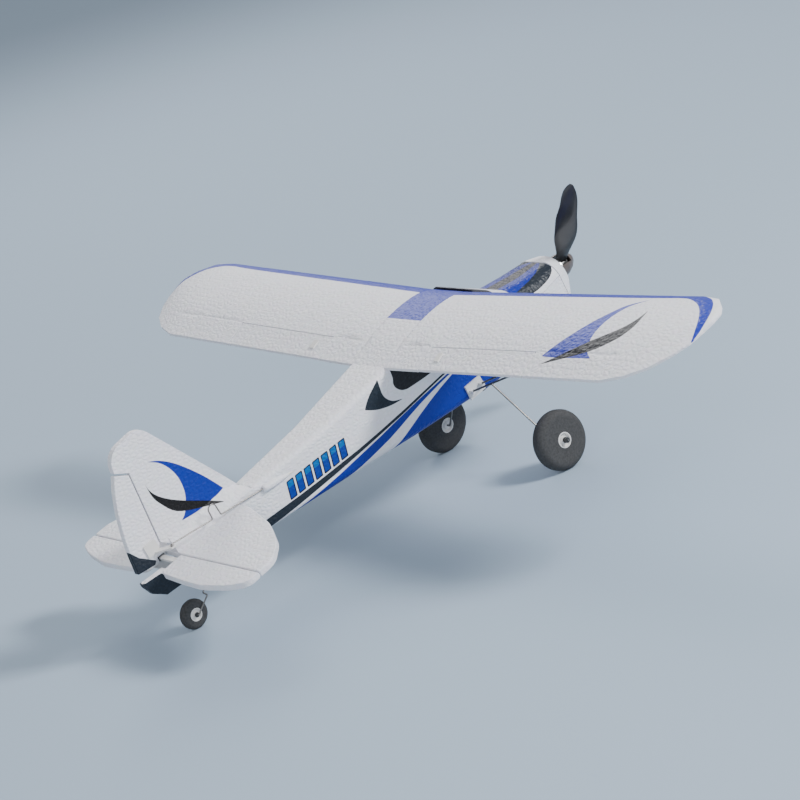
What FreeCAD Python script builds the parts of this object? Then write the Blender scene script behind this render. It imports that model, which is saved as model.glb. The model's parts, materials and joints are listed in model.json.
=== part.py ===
import FreeCAD, Part
import math
import os
import Sketcher
from FreeCAD import Placement, Rotation, Vector

# A 0.6 m class electric trainer aeroplane in moulded bead foam, standing on its three wheels.
# It is drawn level, in the fitter's own axes: nose towards -Y, pilot's left towards +X, +Z up,
# with y = 0, z = 0 at the wing's trailing edge. One placement then stands it on the ground.

os.makedirs("parts", exist_ok=True)
doc = FreeCAD.newDocument("foam_airplane")

# ------------------------------------------------ driving sizes, millimetres and degrees
SIZES = [
    ("half_span", 308.0, "wing centre to wing tip"),
    ("wing_chord", 95.0, "wing leading edge to trailing edge"),
    ("wing_thick", 12.4, "wing thickness at its deepest point"),
    ("edge_thick", 2.2, "trailing edge thickness of wing and ailerons"),
    ("centre_half", 20.0, "half width of the flat wing centre"),
    ("dihedral", 2.5, "upward angle of each outer panel"),
    ("tip_sweep", 53.0, "spanwise length of the raked tip"),
    ("aileron_chord", 20.0, "hinge line to trailing edge"),
    ("aileron_root", 40.0, "panel break to aileron root"),
    ("aileron_span", 114.5, "aileron length"),
    ("hinge_gap", 0.5, "gap between a moving surface and its fixed neighbour"),
    ("bevel_angle", 26.0, "front bevel of the moving surfaces"),
    ("spar_diameter", 3.0, "carbon wing spar"),
    ("spar_length", 210.0, "each carbon spar"),
    ("nose_reach", 79.0, "wing leading edge to the front of the fuselage shells"),
    ("hatch_length", 47.0, "battery hatch, front to rear"),
    ("cabin_half", 27.0, "half width of the fuselage at the wing leading edge"),
    ("cabin_depth", 73.0, "wing trailing edge level down to the belly"),
    ("tail_arm", 209.6, "wing trailing edge to the elevator hinge line"),
    ("foam_wall", 4.5, "fuselage shell thickness"),
    ("fit_gap", 0.4, "gap round a piece that is lifted out"),
    ("thrust_drop", 45.5, "propeller axis below the wing trailing edge"),
    ("cowl_length", 12.0, "motor cowl, front to rear"),
    ("motor_diameter", 19.0, "motor bell"),
    ("motor_length", 13.0, "motor bell"),
    ("shaft_diameter", 3.0, "motor shaft"),
    ("prop_diameter", 188.0, "propeller disc"),
    ("prop_rest", -37.0, "turn of the propeller at rest"),
    ("spinner_diameter", 20.0, "spinner at its backplate"),
    ("spinner_length", 18.0, "spinner, backplate to point"),
    ("tyre_diameter", 46.0, "main wheels"),
    ("tyre_width", 13.0, "main wheels"),
    ("hub_diameter", 12.0, "main wheel hubs"),
    ("gear_wire", 1.5, "main gear spring wire"),
    ("track", 138.2, "between the main wheel centres"),
    ("gear_set", 75.7, "main wheel centres ahead of the wing trailing edge"),
    ("gear_drop", 118.1, "main wheel centres below the wing trailing edge"),
    ("camber", 6.0, "rise of each axle towards its outer end"),
    ("tail_tyre_diameter", 22.0, "tail wheel"),
    ("tail_tyre_width", 7.0, "tail wheel"),
    ("tail_hub_diameter", 9.6, "tail wheel hub"),
    ("tail_wire", 1.2, "tail wheel spring wire"),
    ("tail_drop", 59.0, "tail wheel centre below the wing trailing edge"),
    ("tail_thick", 5.0, "tailplane, fin, elevator and rudder"),
    ("tail_half_span", 103.0, "tailplane centre to tip"),
    ("fin_height", 80.5, "fin top above the wing trailing edge"),
    ("servo_length", 20.0, "servo case"),
    ("servo_width", 8.5, "servo case"),
    ("servo_height", 14.0, "servo case"),
    ("arm_radius", 11.0, "servo arm, shaft to pushrod hole"),
    ("rod_diameter", 1.0, "pushrods"),
    ("rod_half", 13.2, "tail pushrods, distance from the centre plane"),
    ("running_gap", 0.06, "radial clearance of every wheel on its axle"),
    ("strut_diameter", 1.5, "wing struts"),
    ("strut_reach", 200.0, "wing centre to the strut clips"),
    ("battery_length", 46.0, "flight battery"),
    ("battery_width", 18.0, "flight battery"),
    ("battery_height", 13.0, "flight battery"),
]

sheet = doc.addObject("Spreadsheet::Sheet", "Sizes")
for row, (alias, value, meaning) in enumerate(SIZES, start=1):
    sheet.set("A%d" % row, meaning)
    sheet.set("B%d" % row, repr(value))
    sheet.setAlias("B%d" % row, alias)
doc.recompute()


def size(alias):
    """One driving size, read back from the sheet."""
    return float(sheet.get(alias))


# ------------------------------------------------ drawing helpers
def new_body(label):
    body = doc.addObject("PartDesign::Body", "body_" + label)
    body.Label = label
    return body


def new_sketch(body, plane, shift=0.0):
    """A sketch on one of the body's origin planes: XY reads (X, Y), XZ reads (X, Z), YZ reads (Y, Z)."""
    sketch = body.newObject("Sketcher::SketchObject", "sketch")
    origin_plane = next(f for f in body.Origin.OriginFeatures if f.Role == plane + "_Plane")
    sketch.AttachmentSupport = [(origin_plane, "")]
    sketch.MapMode = "FlatFace"
    sketch.AttachmentOffset = Placement(Vector(0, 0, shift), Rotation())
    return sketch


def rounded_edges(points, closed=True):
    """Straight runs joined by tangent arcs; each point is (x, y, z, corner radius)."""
    corners = [(Vector(*p[:3]), p[3]) for p in points]
    count = len(corners)
    edges = []
    last_end = None
    first_start = None
    for index, (corner, radius) in enumerate(corners):
        at_end = not closed and index in (0, count - 1)
        if radius == 0 or at_end:
            start, end = corner, corner
        else:
            back = (corners[index - 1][0] - corner).normalize()
            ahead = (corners[(index + 1) % count][0] - corner).normalize()
            half_angle = back.getAngle(ahead) / 2
            reach = radius / math.tan(half_angle)
            start, end = corner + back * reach, corner + ahead * reach
            inward = (back + ahead).normalize()
            middle = corner + inward * (radius / math.sin(half_angle) - radius)
        if last_end is not None and (start - last_end).Length > 1e-6:
            edges.append(Part.LineSegment(last_end, start))
        if first_start is None:
            first_start = start
        if (end - start).Length > 1e-6:
            edges.append(Part.Arc(start, middle, end))
        last_end = end
    if closed and (first_start - last_end).Length > 1e-6:
        edges.append(Part.LineSegment(last_end, first_start))
    return edges


def flat(points):
    """Sketch points (u, v) or (u, v, radius) as the four numbers that rounded_edges reads."""
    return [(p[0], p[1], 0.0, p[2] if len(p) > 2 else 0.0) for p in points]


def draw(sketch, points):
    sketch.addGeometry(rounded_edges(flat(points)), False)
    return sketch


def circle(sketch, centre, alias=None, radius=None):
    """A circle; with an alias its diameter is bound to that cell."""
    start = radius if radius else size(alias) / 2
    index = sketch.addGeometry(Part.Circle(Vector(centre[0], centre[1], 0), Vector(0, 0, 1), start), False)
    if alias:
        sketch.addConstraint(Sketcher.Constraint("Diameter", index, 2 * start))
        sketch.setExpression("Constraints[%d]" % (sketch.ConstraintCount - 1), "Sizes." + alias)
    return sketch


def feature(body, kind, profile, **settings):
    item = body.newObject("PartDesign::" + kind, kind.lower())
    item.Profile = profile
    for name, value in settings.items():
        setattr(item, name, value)
    profile.Visibility = False
    body.Tip = item
    return item


def pad(body, sketch, length, symmetric=False, alias=None):
    item = feature(body, "Pad", sketch, Length=length)
    if symmetric:
        item.SideType = "Symmetric"
    if alias:
        item.setExpression("Length", "Sizes." + alias)
    return item


def pocket(body, sketch, length):
    """A cut that reaches the same distance to both sides of its sketch."""
    return feature(body, "Pocket", sketch, Length=length, SideType="Symmetric")


def loft(body, sketches, cut=False, ruled=True):
    """Loft through sketches on parallel planes, in the order in which the planes' normal meets them."""
    kind = "SubtractiveLoft" if cut else "AdditiveLoft"
    ordered = sorted(sketches, key=lambda sketch: sketch.AttachmentOffset.Base.z)
    return feature(body, kind, ordered[0], Sections=ordered[1:], Ruled=ruled)


def revolve(body, sketch, axis="H_Axis"):
    return feature(body, "Revolution", sketch, ReferenceAxis=(sketch, [axis]), Angle=360.0)


finished = []


def finish(item, label=None, where=Placement()):
    """Note a finished sub-part and its place in the fitter's axes."""
    if label:
        item.Label = label
    finished.append((item, where))
    return item


def box(label, low, high):
    item = doc.addObject("Part::Box", label)
    item.Length, item.Width, item.Height = [b - a for a, b in zip(low, high)]
    item.Placement = Placement(Vector(*low), Rotation())
    return item


def cut(label, base, tools):
    item = base
    for number, tool in enumerate(tools):
        step = doc.addObject("Part::Cut", "%s_cut%d" % (label, number))
        step.Base, step.Tool = item, tool
        item = step
    return item


def fuse(label, shapes):
    item = doc.addObject("Part::MultiFuse", label + "_fuse")
    item.Shapes = shapes
    return item


def rod_along(label, diameter, start, end):
    """A straight round rod between two points."""
    run = Vector(*end) - Vector(*start)
    item = doc.addObject("Part::Cylinder", label)
    item.Radius = diameter / 2
    item.Height = run.Length
    item.Placement = Placement(Vector(*start), Rotation(Vector(0, 0, 1), run))
    return item


def bent_wire(label, diameter, points):
    """Round wire bent along straight runs and arcs; each point is (x, y, z, bend radius)."""
    path = Part.Wire([edge.toShape() for edge in rounded_edges(points, closed=False)])
    start = Vector(*points[0][:3])
    along = Vector(*points[1][:3]) - start
    ring = Part.Wire(Part.Circle(start, along, diameter / 2).toShape())
    item = doc.addObject("Part::Feature", label)
    item.Shape = path.makePipeShell([ring], True, True)
    return item


def names_of(kind, shape, wanted):
    """Names of the edges or faces whose centre of mass passes a test."""
    items = shape.Edges if kind == "Edge" else shape.Faces
    return ["%s%d" % (kind, i) for i, item in enumerate(items, start=1) if wanted(item.CenterOfMass)]


# ------------------------------------------------ places worked out from the sizes
SIDES = (("left", 1), ("right", -1))
GAP = size("hinge_gap")
LEADING_EDGE = -size("wing_chord")
NOSE = LEADING_EDGE - size("nose_reach")
HATCH_REAR = NOSE + size("hatch_length")
CABIN = size("cabin_half")
DEPTH = size("cabin_depth")
WALL = size("foam_wall")
THRUST = -size("thrust_drop")
HATCH_SILL = THRUST + 5.5
HATCH_CREST = THRUST + 24.0
PANEL_RISE = math.tan(math.radians(size("dihedral")))
TE_DROP = (60.0 - size("centre_half")) * PANEL_RISE
WING_FLOOR = -TE_DROP - size("edge_thick")
HINGE = size("tail_arm")
TAIL_MID = -14.0
TAIL_TOP = TAIL_MID + size("tail_thick") / 2
TAIL_FLOOR = TAIL_MID - size("tail_thick") / 2
FIN_HALF = size("tail_thick") / 2
GEAR_Y = -size("gear_set")
ROD_RADIUS = size("rod_diameter") / 2
HORN_THICK = 1.2
HOLE_SLACK = 0.85
HATCH_SLANT = 3.0

# Fuselage stations: y, half width, top, belly, top corner radius, belly corner radius.
STATIONS = [
    (NOSE, 0.82 * CABIN, THRUST + 16.5, THRUST - 21.5, 12.0, 12.0),
    (NOSE + 24.0, 0.95 * CABIN, THRUST + 19.5, -0.966 * DEPTH, 14.5, 11.0),
    (HATCH_REAR, CABIN, HATCH_CREST, -0.993 * DEPTH, 16.5, 9.0),
    (LEADING_EDGE - 14.0, CABIN, -8.5, -DEPTH, 12.0, 8.0),
    (LEADING_EDGE - 2.0, CABIN, 1.0, -DEPTH, 9.0, 8.0),
    (GEAR_Y, 0.974 * CABIN, -1.5, -0.985 * DEPTH, 5.0, 8.0),
    (1.0, 0.815 * CABIN, -1.5, -0.853 * DEPTH, 5.0, 7.0),
    (HINGE / 3, 0.63 * CABIN, -7.0, -0.718 * DEPTH, 5.0, 6.0),
    (HINGE - 70.0, 0.444 * CABIN, -8.0, -0.597 * DEPTH, 4.0, 5.0),
    (HINGE - 30.0, 0.304 * CABIN, -8.0, -0.523 * DEPTH, 3.0, 3.5),
    (HINGE + 1.5, 0.17 * CABIN, -8.0, -0.468 * DEPTH, 2.0, 2.0),
    (HINGE + 21.0, 0.122 * CABIN, -8.0, -0.447 * DEPTH, 1.5, 1.5),
    (HINGE + 30.0, 0.107 * CABIN, -8.0, -0.342 * DEPTH, 1.2, 1.2),
    (HINGE + 33.0, 0.096 * CABIN, -8.0, -0.24 * DEPTH, 1.0, 1.0),
]


def station(y):
    """The fuselage section at any y, between the two stations beside it."""
    for before, after in zip(STATIONS, STATIONS[1:]):
        if y <= after[0]:
            break
    share = (y - before[0]) / (after[0] - before[0])
    return [a + share * (b - a) for a, b in zip(before, after)]


# ------------------------------------------------ fuselage shells, each half its own moulding
def shell_section(sketch, y, inset):
    """A whole fuselage section; an inset section is that of the hollow."""
    _, half, top, belly, top_radius, belly_radius = station(y)
    wide, low, high = half - inset, belly + inset, top - inset
    low_radius, high_radius = max(belly_radius - inset, 1.0), max(top_radius - inset, 1.0)
    return draw(sketch, [(-wide, low, low_radius), (wide, low, low_radius),
                         (wide, high, high_radius), (-wide, high, high_radius)])


def side_cut(body, points):
    """Cut a side-view outline right through a body."""
    return pocket(body, draw(new_sketch(body, "YZ"), points), 4 * CABIN)


def plan_cut(body, low, high, depth_low, depth_high):
    """Cut an upright block out of a body."""
    middle = (depth_low + depth_high) / 2
    sketch = draw(new_sketch(body, "XY", middle), [(low[0], low[1]), (high[0], low[1]),
                                                   (high[0], high[1]), (low[0], high[1])])
    return pocket(body, sketch, depth_high - depth_low)


# Each tail pushrod runs straight from its servo arm to its horn.
ROD_X = size("rod_half")
SERVO_Y = {"rudder": -7.0, "elevator": -35.0}
ARM_LEVEL = -40.5
ROD_START = ARM_LEVEL + HORN_THICK / 2 + ROD_RADIUS + 0.9
ROD_TAIL = ARM_LEVEL - HORN_THICK / 2 - 1.5
ROD_END = {"rudder": (HINGE + 4.9, 0.8), "elevator": (HINGE, TAIL_MID - 12.5)}
ROD_SIDE = {"rudder": -1, "elevator": 1}


def rod_level(name, y):
    start, (end_y, end_z) = SERVO_Y[name], ROD_END[name]
    return ROD_START + (end_z - ROD_START) * (y - start) / (end_y - start)


GUIDE_START, GUIDE_END = 50.0, HINGE - 79.0
GUIDE_RADIUS = ROD_RADIUS + 0.9
GEAR_FLOOR = station(GEAR_Y)[3]
PLATE_TOP = GEAR_FLOOR + 1.0
PLATE_HALF = (17.0, 7.0)
STRUT_Y = -58.0
STRUT_PLATE = (station(STRUT_Y - 8.0)[1] - 0.8, 1.6)
STRUT_LEVEL = -61.0
BRACKET = ((-3.5, HINGE - 36.0), (3.5, HINGE - 22.0))
BRACKET_TOP = station(HINGE - 29.0)[3] + 2.0

for side_name, side in SIDES:
    shell = new_body("fuselage_" + side_name)
    loft(shell, [shell_section(new_sketch(shell, "XZ", -s[0]), s[0], 0.0) for s in STATIONS])
    bay_ys = [NOSE - 0.01] + [s[0] for s in STATIONS[1:9]] + [HINGE - 60.0]
    loft(shell, [shell_section(new_sketch(shell, "XZ", -y), y, WALL) for y in bay_ys], cut=True)
    far_low, far_high = sorted((0.0, -side * 2 * CABIN))
    plan_cut(shell, (far_low, NOSE - 10), (far_high, HINGE + 50), -2 * DEPTH, DEPTH)
    side_cut(shell, [(NOSE - 5, HATCH_SILL), (HATCH_REAR - HATCH_SLANT, HATCH_SILL),
                     (HATCH_REAR, HATCH_CREST), (HATCH_REAR, 60), (NOSE - 5, 60)])
    seat = WING_FLOOR - 0.1
    side_cut(shell, [(LEADING_EDGE - 1.2, seat), (0.3, seat), (0.3, 60), (LEADING_EDGE - 1.2, 60)])
    side_cut(shell, [(HINGE - 72.6, 60), (HINGE - 72.6, TAIL_TOP), (HINGE - 57.2, TAIL_TOP),
                     (HINGE - 57.2, TAIL_FLOOR), (HINGE - 1, TAIL_FLOOR), (HINGE, TAIL_FLOOR - 3.5),
                     (HINGE + 9, TAIL_FLOOR - 3.5), (HINGE + 12, TAIL_FLOOR - 0.1),
                     (HINGE + 40, TAIL_MID + 0.6), (HINGE + 40, 60)])
    plan_cut(shell, (-14, LEADING_EDGE + 12), (14, -12), -12.0, 5.0)
    plan_cut(shell, (-PLATE_HALF[0] - 0.1, GEAR_Y - PLATE_HALF[1] - 0.1),
             (PLATE_HALF[0] + 0.1, GEAR_Y + PLATE_HALF[1] + 0.1), -DEPTH - 5, PLATE_TOP)
    channel = size("gear_wire") / 2 + 0.1
    plan_cut(shell, (-CABIN, GEAR_Y - channel), (CABIN, GEAR_Y + channel),
             -DEPTH - 5, PLATE_TOP + 2 * channel - 0.1)
    plan_cut(shell, (BRACKET[0][0] - 0.1, BRACKET[0][1] - 0.1),
             (BRACKET[1][0] + 0.1, BRACKET[1][1] + 0.1), -DEPTH, BRACKET_TOP)
    for name in ("rudder", "elevator"):
        if ROD_SIDE[name] == side:
            ends = [circle(new_sketch(shell, "XZ", -y), (side * ROD_X, rod_level(name, y)),
                           radius=GUIDE_RADIUS + 0.05) for y in (GUIDE_START - 10, GUIDE_END + 1)]
            loft(shell, ends, cut=True)
    recess = draw(new_sketch(shell, "YZ", side * (STRUT_PLATE[0] + 15)),
                  [(STRUT_Y - 8.1, STRUT_LEVEL - 6.1), (STRUT_Y + 8.1, STRUT_LEVEL - 6.1),
                   (STRUT_Y + 8.1, STRUT_LEVEL + 6.1), (STRUT_Y - 8.1, STRUT_LEVEL + 6.1)])
    pocket(shell, recess, 30)
    finish(shell)


# ------------------------------------------------ battery hatch, lifts about its front edge
HATCH_YS = (NOSE, NOSE + 24.0, HATCH_REAR - size("fit_gap"))
hatch = new_body("hatch")
loft(hatch, [shell_section(new_sketch(hatch, "XZ", -y), y, 0.0) for y in HATCH_YS])
hollow_ys = (NOSE - 0.01, NOSE + 24.0, HATCH_REAR - HATCH_SLANT - 5.0)
loft(hatch, [shell_section(new_sketch(hatch, "XZ", -y), y, WALL) for y in hollow_ys], cut=True)
rear, lid_sill = HATCH_REAR - size("fit_gap"), HATCH_SILL + 0.35
side_cut(hatch, [(rear - HATCH_SLANT, lid_sill), (rear, HATCH_CREST), (rear, 60), (rear + 5, 60),
                 (rear + 5, -2 * DEPTH), (NOSE - 5, -2 * DEPTH), (NOSE - 5, lid_sill)])
finish(hatch)

# ------------------------------------------------ motor cowl, a plastic ring on the nose
COWL_BORE = size("motor_diameter") / 2 + 2.0
cowl = new_body("cowl")
_, nose_half, nose_top, nose_belly, nose_radius, _ = station(NOSE)
COWL_FRONT = NOSE - 0.35 - size("cowl_length")
cowl_rings = [(NOSE - 0.35, nose_half + 0.4, nose_top + 0.6, nose_belly - 0.4, nose_radius),
              (NOSE - 5.0, nose_half - 1.5, nose_top, nose_belly + 0.3, 14.0),
              (COWL_FRONT + 2.5, 17.2, THRUST + 16.0, THRUST - 18.4, 16.0),
              (COWL_FRONT, 15.2, THRUST + 14.2, THRUST - 15.8, 14.2)]
cowl_sketches = []
for y, half, top, low, radius in cowl_rings:
    cowl_sketches.append(draw(new_sketch(cowl, "XZ", -y), [(-half, low, radius), (half, low, radius),
                                                         (half, top, radius), (-half, top, radius)]))
loft(cowl, cowl_sketches)
bore_sketch = circle(new_sketch(cowl, "XZ", -NOSE), (0, THRUST), radius=COWL_BORE)
pocket(cowl, bore_sketch, 4 * size("cowl_length"))
finish(cowl)

# ------------------------------------------------ firewall, motor, propeller and spinner
FIREWALL_FRONT = NOSE + 2.0
firewall = new_body("firewall")
wall_half = nose_half - WALL - 0.35
wall_low, wall_high = nose_belly + WALL + 0.05, nose_top - WALL - 0.5
pad(firewall, draw(new_sketch(firewall, "XZ", -FIREWALL_FRONT - 2.0),
                   [(-wall_half, wall_low, 7.6), (wall_half, wall_low, 7.6),
                    (wall_half, wall_high, 7.6), (-wall_half, wall_high, 7.6)]), 2.0)
finish(firewall)

HUB_AT = Vector(0, NOSE - 21.5, THRUST)
PROP_TURN = Rotation(Vector(0, 1, 0), size("prop_rest"))


def disc(label, diameter, back, front, bore=0.0, alias=None):
    """A round piece on the propeller axis, from y = back forward to y = front."""
    body = new_body(label)
    sketch = new_sketch(body, "XZ", -back)
    circle(sketch, (0, 0), alias=alias, radius=diameter / 2)
    if bore:
        circle(sketch, (0, 0), radius=bore / 2)
    pad(body, sketch, back - front)
    return body


ON_AXIS = Placement(Vector(0, 0, THRUST), Rotation())
MOUNT_FRONT = FIREWALL_FRONT - 3.0
BELL_BACK = MOUNT_FRONT - 0.5
SHAFT = size("shaft_diameter")
ADAPTER = SHAFT + 2.6
SPINNER_BACK = HUB_AT.y + 5.5
finish(disc("motor_mount", 16.0, FIREWALL_FRONT, MOUNT_FRONT, bore=SHAFT + 0.2), where=ON_AXIS)
finish(disc("motor_bell", 0, BELL_BACK, BELL_BACK - size("motor_length"), bore=SHAFT, alias="motor_diameter"),
       where=ON_AXIS)
finish(disc("motor_shaft", 0, FIREWALL_FRONT - 0.5, HUB_AT.y - 8.0, alias="shaft_diameter"), where=ON_AXIS)
adapter = disc("prop_adapter", ADAPTER, SPINNER_BACK + 1.5, HUB_AT.y - 7.0, bore=SHAFT)
flange = circle(new_sketch(adapter, "XZ", -SPINNER_BACK), (0, 0), radius=size("spinner_diameter") / 2 - 1.6)
circle(flange, (0, 0), radius=SHAFT / 2)
pad(adapter, flange, 1.4)
finish(adapter, where=ON_AXIS)

# Blade sections: share of the radius, chord, thickness, pitch angle.
BLADE = [(0.03, 8.0, 3.6, 55.0), (0.14, 9.5, 3.2, 48.0), (0.32, 15.5, 2.4, 34.0), (0.56, 17.0, 1.8, 24.0),
         (0.80, 13.5, 1.4, 17.0), (0.95, 8.0, 1.0, 14.0), (1.0, 3.0, 0.7, 13.0)]
propeller = new_body("propeller")
hub_sketch = circle(new_sketch(propeller, "XZ", -3.5), (0, 0), radius=5.5)
pad(propeller, hub_sketch, 7.0)
blade_sketches = []
for share, chord, thick, pitch in BLADE:
    sketch = new_sketch(propeller, "XY", share * size("prop_diameter") / 2)
    lean = math.radians(pitch)
    along = Vector(math.cos(lean), math.sin(lean), 0)
    across = Vector(-math.sin(lean), math.cos(lean), 0)
    sketch.addGeometry(Part.Ellipse(along * (chord / 2), across * (thick / 2), Vector(0, 0, 0)), False)
    blade_sketches.append(sketch)
blade = loft(propeller, blade_sketches, ruled=False)
doc.recompute()
twin = propeller.newObject("PartDesign::PolarPattern", "blades")
twin.Originals = [blade]
twin.Axis = (next(f for f in propeller.Origin.OriginFeatures if f.Role == "Y_Axis"), [""])
twin.Angle = 360.0
twin.Occurrences = 2
propeller.Tip = twin
pocket(propeller, circle(new_sketch(propeller, "XZ"), (0, 0), radius=ADAPTER / 2), 20.0)
finish(propeller, where=Placement(HUB_AT, PROP_TURN))

spinner = new_body("spinner")
spin_half, spin_long = size("spinner_diameter") / 2, size("spinner_length")
nose_line = [(0.0, 1.0), (0.33, 0.93), (0.62, 0.76), (0.83, 0.52), (0.95, 0.27), (1.0, 0.0)]
outer_line = [(-share * spin_long, wide * spin_half) for share, wide in nose_line]
inner_line = [(-share * (spin_long - 1.6), wide * (spin_half - 1.2)) for share, wide in nose_line]
revolve(spinner, draw(new_sketch(spinner, "YZ"), outer_line + inner_line[::-1]))
slot = draw(new_sketch(spinner, "XY"), [(-5.6, -11.0), (5.6, -11.0), (5.6, 1.0), (-5.6, 1.0)])
pocket(spinner, slot, 4 * spin_half)
finish(spinner, where=Placement(Vector(0, SPINNER_BACK, THRUST), PROP_TURN))

# ------------------------------------------------ wing: one moulding from tip to tip
def airfoil(sketch, rear, front, share, floor):
    """Flat-bottomed section from y = rear forward to y = front; share scales its thickness."""
    chord = rear - front
    thick = size("wing_thick") * share
    edge = size("edge_thick") * (0.4 + 0.6 * share)
    base = floor + 0.35 * (size("wing_thick") - thick)
    top_line = [(0.0, edge), (0.21, 0.63 * thick), (0.48, 0.965 * thick), (0.63, thick), (0.8, 0.9 * thick),
                (0.905, 0.70 * thick), (0.975, 0.43 * thick), (1.0, 0.2 * thick), (0.985, 0.05 * thick),
                (0.94, 0.0)]
    points = [Vector(rear - t * chord, base + up, 0) for t, up in top_line]
    curve = Part.BSplineCurve()
    curve.interpolate(Points=points, InitialTangent=points[1] - points[0], FinalTangent=Vector(chord, 0, 0))
    sketch.addGeometry([curve, Part.LineSegment(points[-1], Vector(rear, base, 0)),
                        Part.LineSegment(Vector(rear, base, 0), points[0])], False)
    return sketch


SPAN, SWEEP = size("half_span"), size("tip_sweep")
# Tip sections: share of the tip length outboard, trailing edge, leading edge, thickness share.
TIP = [(0.0, 0.0, 0.0, 1.0), (0.36, 0.063, 0.0, 0.92), (0.64, 0.165, 0.026, 0.78), (0.85, 0.315, 0.126, 0.58),
       (0.955, 0.44, 0.2, 0.4), (1.0, 0.565, 0.305, 0.22)]
half_sections = [(size("centre_half"), 0.0, 0.0, 1.0)]
half_sections += [(SPAN - SWEEP * (1 - out), rear, front, share) for out, rear, front, share in TIP]
wing = new_body("wing")
wing_sketches = []
for side, row in [(-1, row) for row in half_sections[::-1]] + [(1, row) for row in half_sections]:
    x, rear, front, share = row
    floor = WING_FLOOR + (x - size("centre_half")) * PANEL_RISE
    wing_sketches.append(airfoil(new_sketch(wing, "YZ", side * x), rear * LEADING_EDGE,
                                 LEADING_EDGE * (1 - front), share, floor))
loft(wing, wing_sketches)

AILERON_IN = size("aileron_root")
AILERON_OUT = AILERON_IN + size("aileron_span")
AILERON_FRONT = -size("aileron_chord")
SERVO_X = (AILERON_IN + 16.0, AILERON_IN + 16.0 + size("servo_height"))
SERVO_AXIS_Y = -41.0
WING_SERVO_Y = (SERVO_AXIS_Y + 5.0 - size("servo_length"), SERVO_AXIS_Y + 5.0)
SPAR_Y = -0.7 * size("wing_chord")
SPAR_LEVEL = 5.0
CENTRE = size("centre_half")
SLANT = math.cos(math.radians(size("dihedral")))


def across(side, run):
    """Fitter's x of a place given along a panel from the panel break."""
    return side * (CENTRE + run * SLANT)


for side_name, side in SIDES:
    ins, outs = sorted((across(side, AILERON_IN - 0.8), across(side, AILERON_OUT + 0.8)))
    plan_cut(wing, (ins, AILERON_FRONT - GAP), (outs, 10), -30, 60)
    servo_ins, servo_outs = sorted((across(side, SERVO_X[0] - 3.0), across(side, SERVO_X[1] + 0.9)))
    bay_top = WING_FLOOR + (SERVO_X[1] + 0.9) * PANEL_RISE + size("servo_width") + 0.3
    plan_cut(wing, (servo_ins, WING_SERVO_Y[0] - 0.2), (servo_outs, WING_SERVO_Y[1] + 0.2), -30, bay_top)
    rod_ends = [(CENTRE - 16.0), (CENTRE - 16.0 + size("spar_length"))]
    loft(wing, [circle(new_sketch(wing, "YZ", side * x),
                       (SPAR_Y, WING_FLOOR + SPAR_LEVEL + (x - CENTRE) * PANEL_RISE),
                       radius=size("spar_diameter") / 2 + 0.05) for x in rod_ends], cut=True)
BAR_Y = ((LEADING_EDGE + 12.0, LEADING_EDGE + 19.0), (-19.0, -12.0))
WING_SCREW_Y = [sum(pair) / 2 for pair in BAR_Y]
SCREW_RADIUS = 1.5
wing_holes = new_sketch(wing, "XY", WING_FLOOR)
for y in WING_SCREW_Y:
    circle(wing_holes, (0, y), radius=SCREW_RADIUS)
pocket(wing, wing_holes, 9.0)
finish(wing)

spars = []
for side_name, side in SIDES:
    ends = [(side * x, SPAR_Y, WING_FLOOR + SPAR_LEVEL + (x - CENTRE) * PANEL_RISE) for x in
            (CENTRE - 15.8, CENTRE - 16.2 + size("spar_length"))]
    spars.append(rod_along("spar_" + side_name, size("spar_diameter"), *ends))
finish(fuse("wing_spars", spars), "wing_spars")

bars = [box("bar%d" % i, (-13.9, y0, WING_FLOOR - 4.0), (13.9, y1, WING_FLOOR))
        for i, (y0, y1) in enumerate(BAR_Y)]
bar_holes = [rod_along("bar_hole%d" % i, 2 * SCREW_RADIUS, (0, y, WING_FLOOR - 5), (0, y, WING_FLOOR + 1))
             for i, y in enumerate(WING_SCREW_Y)]
finish(cut("wing_mount_bars", fuse("wing_mount_bars", bars), bar_holes), "wing_mount_bars")

# ------------------------------------------------ ailerons and their drive, drawn along each panel
def on_panel(side):
    """Panel axes: x along the panel from its break, y as the fitter's, z up from its flat underside."""
    tilt = Rotation(Vector(0, 1, 0), -side * size("dihedral"))
    return Placement(Vector(side * CENTRE, 0, WING_FLOOR), tilt)


SKIN = 0.63 * size("wing_thick")
AILERON_PIVOT = (AILERON_FRONT - GAP / 2, SKIN - 0.6)
BEVEL = SKIN * math.tan(math.radians(size("bevel_angle")))
HORN_X = AILERON_IN + 14.8
HORN_HOLE = ROD_RADIUS + HOLE_SLACK
AILERON_HOLE = (AILERON_PIVOT[0], -6.4)
WING_SERVO_LEVEL = 0.5 * size("servo_width")
ARM = size("arm_radius")


def side_pad(body, points, x_middle, thick):
    return pad(body, draw(new_sketch(body, "YZ", x_middle), points), thick, symmetric=True)


def round_the_hole(hole):
    """The three outer corners of a horn blade, about its pushrod hole."""
    y, z = hole
    return [(y + 2.2, z - 2.2, 1.5), (y - 2.2, z - 2.2, 1.5), (y - 2.2, z + 1.8, 1.5)]


def arm_outline(shaft, hole, wide=3.2, tip=2.3):
    """A tapered servo arm from its shaft to its pushrod hole, as a closed outline with round ends."""
    along = Vector(hole[0] - shaft[0], hole[1] - shaft[1], 0).normalize()
    out = Vector(-along.y, along.x, 0)
    root, end = Vector(*shaft, 0), Vector(*hole, 0)
    corners = [root - along * wide + out * wide, end + along * tip + out * tip,
               end + along * tip - out * tip, root - along * wide - out * wide]
    return [(c.x, c.y, r) for c, r in zip(corners, (wide * 0.9, tip * 0.9, tip * 0.9, wide * 0.9))]


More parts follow.
